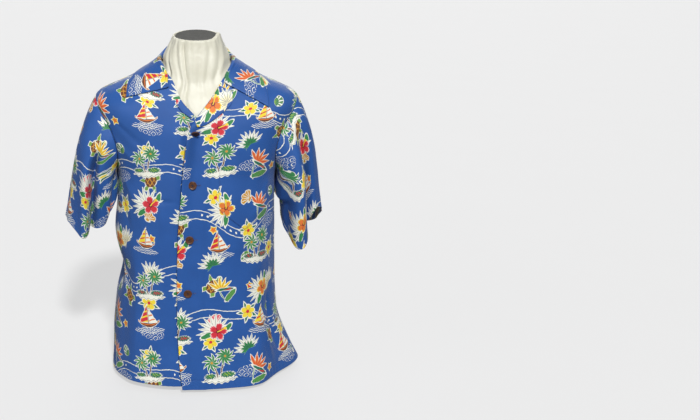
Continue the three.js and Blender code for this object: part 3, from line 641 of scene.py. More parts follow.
def rotated(tree, place, angle):
    node = tree.nodes.new("ShaderNodeVectorRotate")
    node.rotation_type = "Z_AXIS"
    feed(tree, (node.inputs["Vector"], node.inputs["Angle"]), place, angle)
    return node.outputs[0]


class Paper:
    """One motif while it is drawn: its local place in millimetres, its colour and its mask."""

    EDGE = 0.45

    def __init__(self, name):
        self.tree = bpy.data.node_groups.new(name, "ShaderNodeTree")
        self.tree.interface.new_socket("Place", in_out="INPUT", socket_type="NodeSocketVector")
        self.tree.interface.new_socket("Way", in_out="INPUT", socket_type="NodeSocketFloat")
        self.tree.interface.new_socket("Colour", in_out="OUTPUT", socket_type="NodeSocketColor")
        self.tree.interface.new_socket("Mask", in_out="OUTPUT", socket_type="NodeSocketFloat")
        source = self.tree.nodes.new("NodeGroupInput")
        self.stand_at(source.outputs["Place"])
        self.way = Sum(self.tree, source.outputs["Way"])
        self.colour = self.mask = None

    def stand_at(self, place):
        self.place = place
        self.x = Sum(self.tree, vector_math(self.tree, "DOT_PRODUCT", place, (1, 0, 0)))
        self.y = Sum(self.tree, vector_math(self.tree, "DOT_PRODUCT", place, (0, 1, 0)))

    def reach(self, x, y):
        """The distance from a point."""
        return Sum(self.tree, vector_math(self.tree, "DISTANCE", self.place, (x, y, 0)))

    def oval(self, x, y, wide, tall, lean=0):
        """Below 0 inside an oval, in millimetres near its edge."""
        local = vector_math(self.tree, "SUBTRACT", self.place, (x, y, 0))
        local = rotated(self.tree, local, math.radians(-lean))
        local = vector_math(self.tree, "DIVIDE", local, (wide, tall, 1))
        return (Sum(self.tree, vector_math(self.tree, "LENGTH", local)) - 1) * min(wide, tall)

    def turn(self, x=0.0, y=0.0):
        """The angle round a point, 0 straight up and growing to the right."""
        return (self.x - x).math("ARCTAN2", self.y - y)

    def inside(self, distance, grown=0.0):
        return distance.math("MULTIPLY_ADD", -1 / self.EDGE, 0.5 + grown / self.EDGE, clamp=True)

    def ink(self, mask, colour):
        if self.colour is None:
            self.colour, self.mask = colour, mask
            return
        self.colour = blend(self.tree, self.colour, colour, mask)
        self.mask = self.mask.most(mask)

    def paint(self, distance, colour, grown=0.0):
        """Fills a shape with a colour, or with one of two for the motif's way of colouring."""
        if isinstance(colour[0], tuple):
            colour = blend(self.tree, *colour, self.way)
        self.ink(self.inside(distance, grown), colour)

    def edged(self, distance, rim, colour, grown=0.0):
        """Fills a shape inside a white rim."""
        self.paint(distance, WHITE, rim)
        self.paint(distance, colour, grown)

    def done(self):
        out = self.tree.nodes.new("NodeGroupOutput")
        feed(self.tree, out.inputs, self.colour, self.mask)
        return self.tree


def blend(tree, first, second, share):
    node = tree.nodes.new("ShaderNodeMix")
    node.data_type = "RGBA"
    feed(tree, (node.inputs[0], node.inputs[6], node.inputs[7]), share, first, second)
    return node.outputs[2]


WHITE, CREAM = tint(236, 236, 222), tint(238, 230, 190)
YELLOW, GOLD = tint(240, 214, 52), tint(206, 148, 44)
RED, PINK, ORANGE = tint(206, 44, 52), tint(222, 96, 110), tint(226, 120, 44)
GREEN, LEAF, LIME = tint(34, 110, 84), tint(52, 132, 70), tint(140, 176, 52)
BROWN, WINE, NAVY = tint(104, 58, 34), tint(120, 16, 34), tint(20, 28, 62)


def blades(radius, turn, count, long, wide, curl=0.0, spread=math.pi):
    """Pointed leaves that fan out from one point, below 0 inside. Also the distance from their ribs."""
    bent = turn + radius * curl if curl else turn
    side = abs(bent.wrap(math.pi / count)) * radius
    blade = (side - (radius * (math.pi / long)).sin() * wide).most(radius - long)
    if spread < math.pi:
        blade = blade.most((abs(turn) - spread) * 12)
    return blade, side


def corners(paper, *points):
    """A shape with straight sides, its corners clockwise."""
    shape = None
    for (x0, y0), (x1, y1) in zip(points, points[1:] + points[:1]):
        length = math.hypot(x1 - x0, y1 - y0)
        nx, ny = (y0 - y1) / length, (x1 - x0) / length
        side = paper.x.math("MULTIPLY_ADD", nx, paper.y.math("MULTIPLY_ADD", ny, -nx * x0 - ny * y0))
        shape = side if shape is None else shape.most(side)
    return shape


def plumeria():
    paper = Paper("plumeria")
    radius, turn = paper.reach(0, 0), paper.turn()
    paper.edged(blades(radius, turn + 0.5, 5, 22, 3.4)[0], 0.8, GREEN, -1.2)
    petal = abs((turn * 2.5).cos())
    edge = radius - petal ** 0.5 * 7.5 - 5.5
    paper.edged(edge, 1.5, YELLOW)
    paper.paint(((petal - 0.22) * 8).most(edge + 0.5), GOLD)
    paper.paint(radius, RED, 3.0)
    return paper.done()


def hibiscus():
    """A ruffled flower before a fan of pale leaves."""
    paper = Paper("hibiscus")
    radius, turn = paper.reach(8, -8), paper.turn(8, -8)
    far, angle = paper.reach(0, -8), paper.turn(0, -8)
    leaf, rib = blades(far + (angle * 7).sin() * 2.2, angle + 0.5, 17, 41, 3.7, spread=1.9)
    paper.paint(leaf, WHITE, 0.5)
    paper.paint(rib.most(leaf + 1.2), NAVY, 0.3)
    green = paper.oval(-14, -22, 15, 5.5, 30).least(paper.oval(27, 4, 14, 5, 60))
    paper.edged(green, 1.2, LEAF)
    petal = abs((turn * 2.5).cos())
    edge = radius - petal ** 0.4 * 13 - 7 + (turn * 24).sin() * 0.9
    paper.edged(edge, 1.7, (YELLOW, PINK))
    paper.paint(edge, (ORANGE, RED), -2.6)
    heart = ((petal - 0.18) * 12).most(edge + 0.8).least(radius - 4.5)
    paper.paint(heart, WINE)
    stem = abs(paper.x * 0.6 - paper.y * 0.8 - 11.2).most(abs(paper.x * 0.8 + paper.y * 0.6 - 10) - 9)
    paper.paint(stem.least(paper.reach(22.5, 3) - 2), YELLOW, 1.1)
    return paper.done()


def spray():
    """A fan of white leaves over a small shaded heart."""
    paper = Paper("spray")
    radius, turn = paper.reach(0, -12), paper.turn(0, -12)
    leaf, side = blades(radius + (turn * 7).sin() * 2.0, turn, 19, 30, 2.8, spread=1.5)
    paper.paint(leaf, WHITE, 0.5)
    paper.paint(blades(radius, turn + 0.15, 13, 17, 2.7, spread=1.9)[0], (CREAM, LEAF))
    paper.paint(side.most(leaf + 0.9), NAVY, 0.28)
    return paper.done()


def islet():
    """Two palms and bushes on a sand bank."""
    paper = Paper("islet")
    x, y = paper.x, paper.y
    ripple = (x * 0.5).sin() * 1.5
    sand = abs(y + 26 + ripple) + x * x * 0.0058 - 8.5
    paper.paint(sand, WHITE)
    paper.paint(abs(sand + 2.6), NAVY, 0.4)
    for foot, top, lean, count in (((-4, -20), (-15, 10), -5, 9), ((3, -20), (13, 22), 7, 11)):
        rise = top[1] - foot[1]
        height = (y - foot[1]) * (1 / rise)
        middle = height * (height * lean + (top[0] - foot[0] - lean)) + foot[0]
        trunk = abs(x - middle).most(abs(height - 0.5) * rise - rise / 2)
        paper.edged(trunk, 2.1, BROWN, 1.2)
        radius, turn = paper.reach(*top), paper.turn(*top)
        paper.edged(blades(radius, turn, count, 20, 2.7, curl=0.035)[0], 0.9, LEAF, -0.4)
        paper.paint(radius, GOLD, 2.6)
    bush = paper.oval(17, -17, 14, 6).least(paper.oval(-19, -18, 11, 5))
    bush = bush + (x * 1.3).sin() * (y * 1.1).cos() * 1.1
    paper.edged(bush, 1.0, GREEN)
    paper.paint((bush + 2.0).most((x * 0.9 + y).sin() * -3), (LIME, RED))
    return paper.done()


def boat():
    """A sailing boat with striped sails on a few lines of swell."""
    paper = Paper("boat")
    x, y = paper.x, paper.y
    swell = abs((y + 19 + (x * 0.42).sin() * 1.3).wrap(2.1)).most(paper.oval(0, -21, 31, 7))
    paper.paint(swell, WHITE, 0.7)
    hull = (y + 6 - x * x * 0.012).most(x * x * 0.022 - 14 - y).most(abs(x) - 23)
    paper.edged(hull, 1.3, BROWN)
    paper.paint(abs(y + 9 - x * x * 0.015).most(hull), ORANGE, 0.9)
    main = corners(paper, (-20, -3), (-1.2, 34), (-1.2, -3))
    jib = corners(paper, (1.2, -3), (1.2, 27), (18, -3))
    paper.paint(main.least(jib), WHITE, 1.4)
    paper.paint(main, (YELLOW, RED))
    stripe = abs((y - x * 0.3).wrap(5.5)) - 1.6
    paper.paint(stripe.most(main), (RED, YELLOW))
    paper.paint(stripe.most(jib), ORANGE)
    paper.paint(abs(x).most(abs(y - 13) - 20), BROWN, 0.6)
    return paper.done()


def turtle():
    paper = Paper("turtle")
    mirror = abs(paper.x)
    out, up = mirror - 12, paper.y - 8
    arm = abs(out * 0.6 - up * 0.8) * 2.6 + abs(out * 0.8 + up * 0.6) - 9
    foot = abs(mirror - 9) + abs(paper.y + 12) * 0.8 - 4.5
    flipper = arm.least(foot).least(paper.oval(0, 17, 3.6, 4.6))
    back = paper.oval(0, 0, 10.5, 13.5)
    paper.paint(flipper.least(back), WHITE, 1.5)
    paper.paint(flipper, LIME)
    paper.paint(flipper.most((paper.x * 3).sin() * (paper.y * 3).sin() * -3 + 0.6), GREEN)
    paper.paint(back, BROWN)
    scute = abs((paper.x + 3.8).wrap(3.8)).least(abs((paper.y + paper.x * 0.5).wrap(3.9)) * 0.9)
    paper.paint((back + 1.2).most(scute - 0.7), GOLD)
    return paper.done()


def crane_flower():
    """A beaked flower with a fan of narrow petals, on a long stem with one leaf."""
    paper = Paper("crane_flower")
    radius, turn = paper.reach(-6, 0), paper.turn(-6, 0)
    bow = (paper.y + 4) * (paper.y + 4)
    stem = abs(paper.x + 8 - bow * 0.012).most(abs(paper.y + 17) - 17)
    leaf = paper.oval(14, -20, 17, 5.5, 35)
    paper.edged(stem.least(leaf), 1.8, LEAF, 0.8)
    paper.paint(abs((paper.x + paper.y * 1.2).wrap(2.2)).most(leaf + 0.6), LIME, 0.5)
    petal, side = blades(radius, turn - 0.2, 13, 33, 3.3, spread=1.2)
    paper.edged(petal, 1.2, (ORANGE, YELLOW))
    paper.paint(side.most(petal + 1.5), RED, 0.6)
    beak = paper.oval(6, -2, 20, 3.4, -12)
    paper.edged(beak, 1.2, GREEN)
    paper.paint(beak.most(paper.y + 2), RED, -1.0)
    return paper.done()


def broad_leaf():
    paper = Paper("broad_leaf")
    radius, turn = paper.reach(0, -9), paper.turn(0, -9)
    blade = radius - (turn * 0.9).cos() * 14 - (turn * 2).cos() * 6 - 3
    slit = 0.9 - abs(turn.wrap(0.19)) * radius - (11 - radius).most(0.0) * 2
    leaf = blade.most(slit)
    paper.edged(leaf, 1.0, (GREEN, LEAF), -0.3)
    vein = abs((turn - 0.19).wrap(0.19)) * radius
    paper.paint(vein.most(leaf + 1), LIME, 0.35)
    return paper.done()


def shell():
    paper = Paper("shell")
    radius, turn = paper.reach(0, -8), paper.turn(0, -8)
    fan = (radius - 15 - abs((turn * 4).cos()) * 2.2).most((abs(turn) - 1.18) * radius)
    paper.edged(fan.least(paper.oval(0, -9, 6, 2.6)), 0.9, (PINK, GOLD), -0.5)
    paper.paint((abs(turn.wrap(0.196)) * radius).most(fan + 2.5), WHITE, 0.55)
    return paper.done()


def star():
    paper = Paper("star")
    radius, turn = paper.reach(0, 0), paper.turn()
    arm = abs(turn.wrap(math.pi / 5))
    edge = radius * (arm.cos() + arm.sin() * 1.6) - 9
    paper.edged(edge, 1.3, YELLOW)
    paper.paint(edge, (ORANGE, RED), -2.4)
    return paper.done()


def scales():
    """Rows of round wave crests, in thin white lines."""
    paper = Paper("scales")
    row = (paper.y * (1 / 8)).math("FLOOR")
    up = paper.y - row * 8
    across = (paper.x + row.math("PINGPONG", 1.0) * 8).wrap(8)
    radius = (across * across + up * up).math("SQRT")
    paper.paint(abs(radius.wrap(2.1)).most(radius - 8).most(paper.oval(0, 0, 24, 12)), WHITE, 0.5)
    return paper.done()


# The print's repeat, charted: for each cell, row by row from the bottom left, the motif, how far
# it is off the cell's middle, its turn in degrees, its size and its way of colouring
REPEAT = (264.0, 408.0)
LARGE = {"columns": 3, "rows": 5, "draw": (islet, boat, hibiscus, crane_flower), "cells": [
    ("islet", 2, 4, 3, 0.95, 0), ("crane_flower", -10, -6, -24, 0.9, 0), ("boat", 4, 6, 6, 0.9, 1),
    ("hibiscus", -6, 2, -12, 0.85, 1), ("boat", 2, 6, -5, 0.85, 0), ("islet", 6, -4, 2, 0.85, 1),
    ("crane_flower", 8, -2, 16, 0.8, 1), ("hibiscus", 0, -8, 34, 0.85, 0), ("boat", -2, 0, -4, 0.8, 0),
    ("boat", 0, 2, 4, 0.85, 1), ("islet", -8, -6, -4, 0.95, 1), ("hibiscus", 2, -2, 8, 0.85, 1),
    ("hibiscus", 6, -8, 52, 0.8, 0), ("crane_flower", -2, -8, -8, 0.8, 0), ("islet", 2, -8, 5, 0.85, 0),
]}
SMALL = {"columns": 4, "rows": 7, "draw": (
    plumeria, spray, turtle, broad_leaf, shell, star, scales,
), "cells": [
    ("", 0, 0, 0, 1, 0), ("scales", 6, 4, 4, 0.96, 0),
    ("star", -6, -4, 20, 0.96, 0), ("scales", 0, -8, -6, 0.96, 0),
    ("plumeria", -4, 8, 30, 1.02, 0), ("spray", 0, 0, 24, 0.96, 1),
    ("turtle", 8, 0, 50, 1.02, 0), ("plumeria", -6, -4, 0, 1.08, 0),
    ("shell", 4, -4, 20, 1.02, 0), ("plumeria", 4, 6, 65, 1.08, 0),
    ("broad_leaf", -4, 4, -100, 0.96, 0), ("spray", 4, 2, -36, 0.96, 0),
    ("turtle", 0, 4, -40, 1.08, 0), ("star", 8, 0, 0, 0.9, 1),
    ("spray", -4, 0, 40, 1.02, 0), ("star", 0, 8, 10, 0.96, 0),
    ("spray", -4, -2, 20, 0.96, 1), ("broad_leaf", 0, 4, 140, 0.96, 1),
    ("plumeria", 0, 6, 20, 1.08, 0), ("shell", -4, -6, -30, 0.96, 1),
    ("star", 0, 0, 30, 0.96, 0), ("plumeria", 4, -6, 50, 1.02, 0),
    ("scales", -4, 4, 8, 0.96, 0), ("turtle", 0, 4, 150, 1.02, 0),
    ("plumeria", 4, 4, 10, 1.08, 0), ("shell", 0, 0, 60, 1.02, 1),
    ("broad_leaf", 4, 0, 60, 0.96, 0), ("plumeria", -6, 4, 35, 1.02, 0),
]}

# Winding borders: middle height, two swings, two phases, half width and where the beads start
BORDERS = [(136, 21, 7, 0.4, 1.9, 8.0, 0.1), (338, 18, 9, 2.6, 0.5, 8.0, 0.3)]

BEAD_STEP, BEAD_RADIUS = REPEAT[0] / 24, 2.1
SHIFT_MOST = 20.0


def border(paper, middle, swing, ripple, phase, second, half, share):
    wave = 2 * math.pi / REPEAT[0]
    swung = (paper.x * wave + phase).sin()
    path = swung * swing + (paper.x * (2 * wave) + second).sin() * ripple
    off = (paper.y - path - middle).wrap(REPEAT[1] / 2)
    paper.paint(abs(abs(off) - half), WHITE, 0.75)
    beside = paper.x.wrap(BEAD_STEP / 2)
    bead = (beside * beside + off * off).math("SQRT") - BEAD_RADIUS
    paper.paint(bead.most((swung - share) * 20), WHITE)


def ramp(tree, share, colours):
    """A chart of colours with one even step for each, read at a share from 0 to 1."""
    node = tree.nodes.new("ShaderNodeValToRGB")
    node.color_ramp.interpolation = "CONSTANT"
    steps = node.color_ramp.elements
    for k, colour in enumerate(colours):
        step = steps[k] if k < 2 else steps.new(k / len(colours))
        step.position = k / len(colours)
        step.color = (*colour, 1)
    split = tree.nodes.new("ShaderNodeSeparateColor")
    tree.links.new(share.socket, node.inputs[0])
    tree.links.new(node.outputs[0], split.inputs[0])
    return [Sum(tree, socket) for socket in split.outputs]


def lattice(paper, chart):
    """Lays the motifs of one chart: each is drawn once, and shows in its own cells."""
    tree, count = paper.tree, len(chart["cells"])
    cell = (REPEAT[0] / chart["columns"], REPEAT[1] / chart["rows"], 1)
    corner = vector_math(tree, "FLOOR", vector_math(tree, "DIVIDE", paper.place, cell))
    index = vector_math(tree, "WRAP", corner, (chart["columns"], chart["rows"], 0), (0, 0, 0))
    index = vector_math(tree, "DOT_PRODUCT", index, (1 / count, chart["columns"] / count, 0))
    index = Sum(tree, index) + 0.5 / count
    names = [""] + [draw.__name__ for draw in chart["draw"]]
    shift = np.array((2 * SHIFT_MOST, 2 * SHIFT_MOST, 360))
    cells = chart["cells"]
    x, y, turn = ramp(tree, index, [tuple(0.5 + np.array(row[1:4]) / shift) for row in cells])
    kind, size, way = ramp(tree, index, [(names.index(row[0]) / 10, row[4] / 2, row[5]) for row in cells])
    pair = tree.nodes.new("ShaderNodeCombineXYZ")
    feed(tree, pair.inputs, x, y)
    least = (cell[0] / 2 - SHIFT_MOST, cell[1] / 2 - SHIFT_MOST, 0)
    middle = vector_math(tree, "MULTIPLY_ADD", corner, cell, least)
    middle = vector_math(tree, "MULTIPLY_ADD", pair.outputs[0], (*shift[:2], 0), middle)
    local = vector_math(tree, "SUBTRACT", paper.place, middle)
    local = rotated(tree, local, (0.5 - turn) * (2 * math.pi))
    scale = tree.nodes.new("ShaderNodeVectorMath")
    scale.operation = "SCALE"
    feed(tree, (scale.inputs["Vector"], scale.inputs["Scale"]), local, (size * 2) ** -1)
    for k, draw in enumerate(chart["draw"]):
        motif = tree.nodes.new("ShaderNodeGroup")
        motif.node_tree = draw()
        feed(tree, motif.inputs, scale.outputs[0], way)
        chosen = kind.math("COMPARE", (k + 1) / 10, 0.04)
        paper.ink(Sum(tree, motif.outputs["Mask"]) * chosen, motif.outputs["Colour"])


def print_group():
    """The whole print: winding borders, then the small and the large motifs, over no ground."""
    paper = Paper("print")
    wobble = paper.tree.nodes.new("ShaderNodeTexNoise")
    wobble.noise_dimensions = "2D"
    wobble.inputs["Scale"].default_value = 0.11
    wobble.inputs["Detail"].default_value = 1.5
    paper.tree.links.new(paper.place, wobble.inputs["Vector"])
    wobbly = vector_math(paper.tree, "MULTIPLY_ADD", wobble.outputs["Color"], (2.6, 2.6, 0), paper.place)
    paper.stand_at(wobbly)
    for row in BORDERS:
        border(paper, *row)
    lattice(paper, SMALL)
    lattice(paper, LARGE)
    return paper.done()


# Finishes

PRINT_SCALE = 1.1
GROUND, PALE_BLUE = tint(34, 84, 156), tint(128, 146, 186)
FLOOR_GLOW = 0.552
FLOOR_DARK, FLOOR_LIGHT = tint(136, 136, 136), tint(138, 138, 138)


class Finish:
    """A material whose shader gets its sums from a place in millimetres."""

    def __init__(self, name, roughness, **constants):
        self.material = bpy.data.materials.new(name)
        self.material.use_nodes = True
        self.tree = self.material.node_tree
        self.shader = self.tree.nodes["Principled BSDF"]
        self.shader.inputs["Roughness"].default_value = roughness
        for socket, value in constants.items():
            self.shader.inputs[socket.replace("_", " ")].default_value = value

    def place(self, x=1.0, y=1.0, z=1.0, flat=False):
        """A place in millimetres, scaled: in space, or on the flat cloth."""
        kind = "ShaderNodeUVMap" if flat else "ShaderNodeTexCoord"
        node = self.tree.nodes.new(kind)
        if flat:
            node.uv_map = "Pattern"
        source = node.outputs["UV" if flat else "Object"]
        return vector_math(self.tree, "MULTIPLY", source, (x / MM, y / MM, z / MM))

    def noise(self, place, scale, detail=3.0, roughness=0.5):
        node = self.tree.nodes.new("ShaderNodeTexNoise")
        feed(self.tree, (node.inputs["Vector"], node.inputs["Scale"], node.inputs["Detail"],
                         node.inputs["Roughness"]), place, scale, detail, roughness)
        return Sum(self.tree, node.outputs["Fac"])

    def wave(self, place, scale, direction="X", distortion=0.0):
        node = self.tree.nodes.new("ShaderNodeTexWave")
        node.bands_direction = direction
        feed(self.tree, (node.inputs["Vector"], node.inputs["Scale"], node.inputs["Distortion"]),
             place, scale, distortion)
        return Sum(self.tree, node.outputs["Fac"])

    def shade(self, dark, light, share):
        feed(self.tree, (self.shader.inputs["Base Color"],), blend(self.tree, dark, light, share))

    def bump(self, height, distance):
        node = self.tree.nodes.new("ShaderNodeBump")
        feed(self.tree, (node.inputs["Height"], node.inputs["Distance"]), height, distance)
        self.tree.links.new(node.outputs[0], self.shader.inputs["Normal"])

    def rough(self, value):
        feed(self.tree, (self.shader.inputs["Roughness"],), value)


def cloth_finish(name, printing, ground, faded, roughness):
    """Silky rayon: the print, a little unevenness of the dye, and a fine weave."""
    finish = Finish(name, roughness, Specular_IOR_Level=0.28, Sheen_Weight=0.08, Sheen_Roughness=0.4)
    place = finish.place(1 / PRINT_SCALE, 1 / PRINT_SCALE, 0, flat=True)
    group = finish.tree.nodes.new("ShaderNodeGroup")
    group.node_tree = printing
    finish.tree.links.new(place, group.inputs["Place"])
    dye = finish.noise(place, 0.018, 4.0)
    dark, light = (tuple(c * k for c in ground[:3]) + (1,) for k in (0.8, 1.12))
    base = blend(finish.tree, dark, light, dye)
    base = blend(finish.tree, base, group.outputs["Colour"], Sum(finish.tree, group.outputs["Mask"]))
    threads = finish.wave(place, 1.1, "X") * 0.5 + finish.wave(place, 1.3, "Y") * 0.5
    slub = finish.noise(finish.place(0.08, 1.6, 0, flat=True), 1.0, 2.0)
    if faded:
        base = blend(finish.tree, base, PALE_BLUE, faded)
    finish.shade(base, tuple(c * 0.72 for c in PALE_BLUE[:3]) + (1,), slub * 0.09)
    finish.rough((slub * 0.16).math("ADD", roughness - 0.08))
    finish.bump(threads * 0.4 + slub + dye * 2, 0.00022)
    return finish.material


def satin_finish():
    finish = Finish("form_satin", 0.34, Specular_IOR_Level=0.5, Sheen_Weight=0.25, Sheen_Roughness=0.3)
    place = finish.place()
    cloud = finish.noise(place, 0.02, 3.0)
    finish.shade(tint(198, 195, 175), tint(220, 218, 203), cloud)
    fine = finish.noise(finish.place(2.5, 2.5, 0.25), 1.0, 2.0)
    finish.rough((fine * 0.14).math("ADD", 0.27))
    finish.bump(fine + finish.noise(place, 0.12, 2.0) * 2.5, 0.0003)
    return finish.material


def cap_finish():
    finish = Finish("form_cap", 0.75, Specular_IOR_Level=0.3)
    place = finish.place()
    cloud = finish.noise(place, 0.09, 4.0)
    finish.shade(tint(58, 58, 56), tint(88, 88, 84), cloud)
    finish.bump(finish.noise(place, 1.2, 3.0), 0.0004)
    return finish.material


def coconut_finish():
    """Polished coconut shell: dark, with paler flecks and short streaks of grain."""
    finish = Finish("button_wood", 0.4, Specular_IOR_Level=0.45, Coat_Weight=0.1, Coat_Roughness=0.3)
    place = finish.place()
    grain = finish.noise(finish.place(0.25, 1.4, 1.4), 1.0, 4.0, 0.65)
    fleck = finish.noise(place, 0.9, 3.0).math("MULTIPLY_ADD", 6.0, -3.4, clamp=True)
    base = blend(finish.tree, tint(44, 24, 14), tint(104, 62, 36), grain)
    finish.shade(base, tint(150, 108, 70), fleck * 0.5)
    finish.rough((grain * 0.2).math("ADD", 0.36))
    finish.bump(grain, 0.00008)
    return finish.material


def thread_finish(name, dark, light):
    """Twisted sewing thread."""
    finish = Finish(name, 0.55, Specular_IOR_Level=0.35, Sheen_Weight=0.3, Sheen_Roughness=0.4)
    place = finish.place()
    finish.shade(dark, light, finish.noise(place, 0.5, 2.0))
    finish.bump(finish.wave(place, 2.2, "DIAGONAL", 1.0), 0.00008)
    return finish.material


def floor_finish():
    finish = Finish("floor_paper", 0.9, Specular_IOR_Level=0.1)
    place = finish.place()
    finish.shade(FLOOR_DARK, FLOOR_LIGHT, finish.noise(place, 0.003, 2.0))
    finish.shader.inputs["Emission Color"].default_value = (1, 1, 1, 1)
    finish.shader.inputs["Emission Strength"].default_value = FLOOR_GLOW
    return finish.material


PRINT = print_group()
printed = cloth_finish("printed_cloth", PRINT, GROUND, 0, 0.5)
reverse = cloth_finish("cloth_reverse", PRINT, GROUND, 0.5, 0.65)
satin, cap_grey, wood = satin_finish(), cap_finish(), coconut_finish()
thread = thread_finish("thread_blue", tint(30, 48, 104), tint(64, 88, 150))
dark_thread = thread_finish("thread_navy", tint(18, 24, 56), tint(36, 44, 84))

SHELLS = {}


def finish_piece(piece, node):
    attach(piece, "root")
    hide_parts(node)
    return piece


def cloth_piece(name, points, pattern, outwards=None, thickness=CLOTH, around=False, inside=reverse):
    """Makes a cloth piece in place of its node, and keeps its outer side for the sewing."""
    piece = make_shell(name + "_cloth", points, pattern, (printed, inside), thickness, around, outwards)
    side = points, grid_normals(points, around, outwards)
    SHELLS[name] = [np.concatenate([grid, grid[:, :1]], axis=1) for grid in side] if around else side
    finish_piece(piece, name)


# Fronts

HEM_TURN, CUFF_TURN = 21, 26
LOW_ROWS = 128
ARM_ROWS = 66


def panel_rows():
    low = np.linspace(0, 1, LOW_ROWS + 1)
    hem = (HEM_TURN + np.array((-2.4, -1.5, -0.8, 0, 0.8, 1.5, 2.4))) / UNDERARM
    low = low[(low < hem[0] - 0.002) | (low > hem[-1] + 0.002)]
    high = 1 + np.linspace(0, 1, ARM_ROWS + 1)[1:]
    return np.unique(np.concatenate([[0, 0.002, 0.005], hem, low[1:], high]))


def arc_from(angle, along, middle):
    """The length round the body from the middle angle to this one, at this height."""
    steps = np.linspace(0, 1, 25)
    turns = middle + (np.asarray(angle) - middle)[..., None] * steps
    points = ring_point(BODY_RINGS.at(np.broadcast_to(np.asarray(along)[..., None], turns.shape)), turns)
    length = np.linalg.norm(np.diff(points, axis=-2), axis=-1).sum(axis=-1)
    return np.sign(np.asarray(angle) - middle) * length


def hem_rise(around, along):
    """The groove of the hem's stitches and the small puckers below it."""
    groove = -0.45 * bell(along - HEM_TURN, 1.3)
    pucker = 0.4 * sin(around * 31 + 60 * sin(around * 3)) * bell(along - HEM_TURN / 2, 9)
    return groove + pucker


def panel(name, first, last, columns, middle, lift, edges, offset=(0, 0)):
    """A panel of the body, ruled between two edges of places."""
    share = shares(columns, 300)[None, :]
    angle = lerp(first[0][:, None], last[0][:, None], share)
    along = lerp(first[1][:, None], last[1][:, None], share)
    points = body_spot(angle, along, lift(body_point(angle, along)[..., 0], along))
    outwards = body_normal(angle, along)
    normals = grid_normals(points, False, outwards)
    points = tucked(points, normals, edges)
    around = arc_from(angle, along, middle)
    points = points + normals * hem_rise(around, along)[..., None]
    pattern = np.stack([-around + offset[0], along + offset[1]], axis=-1)
    cloth_piece(name, points, pattern, outwards, doubled(along, HEM_TURN))


ROWS = panel_rows()
for name, side, lift, offset in (
    ("front_left", 1, lap_lift, (0, 0)), ("front_right", -1, trough_lift, (58, -96)),
):
    edges = side_place(ROWS, side, False), front_edge_place(ROWS, side)
    panel(name, *edges, 108, 90, lift, ("first",), offset)

# Back and yoke
right_side, left_side = side_place(ROWS, -1, True), side_place(ROWS, 1, True)
panel("back", right_side, (left_side[0] + 360, left_side[1]), 150, 270, lambda x, along: 0,
      ("first", "last", "top"), (61, 0))


def yoke():
    """The yoke: each outer quarter ends at a shoulder, and the half between them at the neck."""
    quarter = shares(40, 110) * 0.25
    share = np.unique(np.concatenate([quarter, 0.25 + 0.5 * np.linspace(0, 1, 70), 0.75 + quarter]))
    ridge = np.minimum(np.minimum(share, 1 - share), 0.25) / 0.25
    round_neck = np.clip((share - 0.25) / 0.5, 0, 1)
    low_angle = lerp(right_side[0][-1], left_side[0][-1] + 360, share)
    low_along = lerp(right_side[1][-1], left_side[1][-1], share)
    up = shares(34, 110)[:, None]
    angle = lerp(low_angle, 180 + 180 * round_neck, up)
    along = lerp(low_along, lerp(SHOULDER, NECK, ridge), up)
    points = body_spot(angle, along)
    outwards = body_normal(angle, along)
    points = tucked(points, grid_normals(points, False, outwards), ("first", "last", "top", "bottom"))
    pattern = np.stack([-arc_from(angle, along, 270) + 148, along + 231], axis=-1)
    cloth_piece("yoke", points, pattern, outwards)


yoke()


# Sleeves

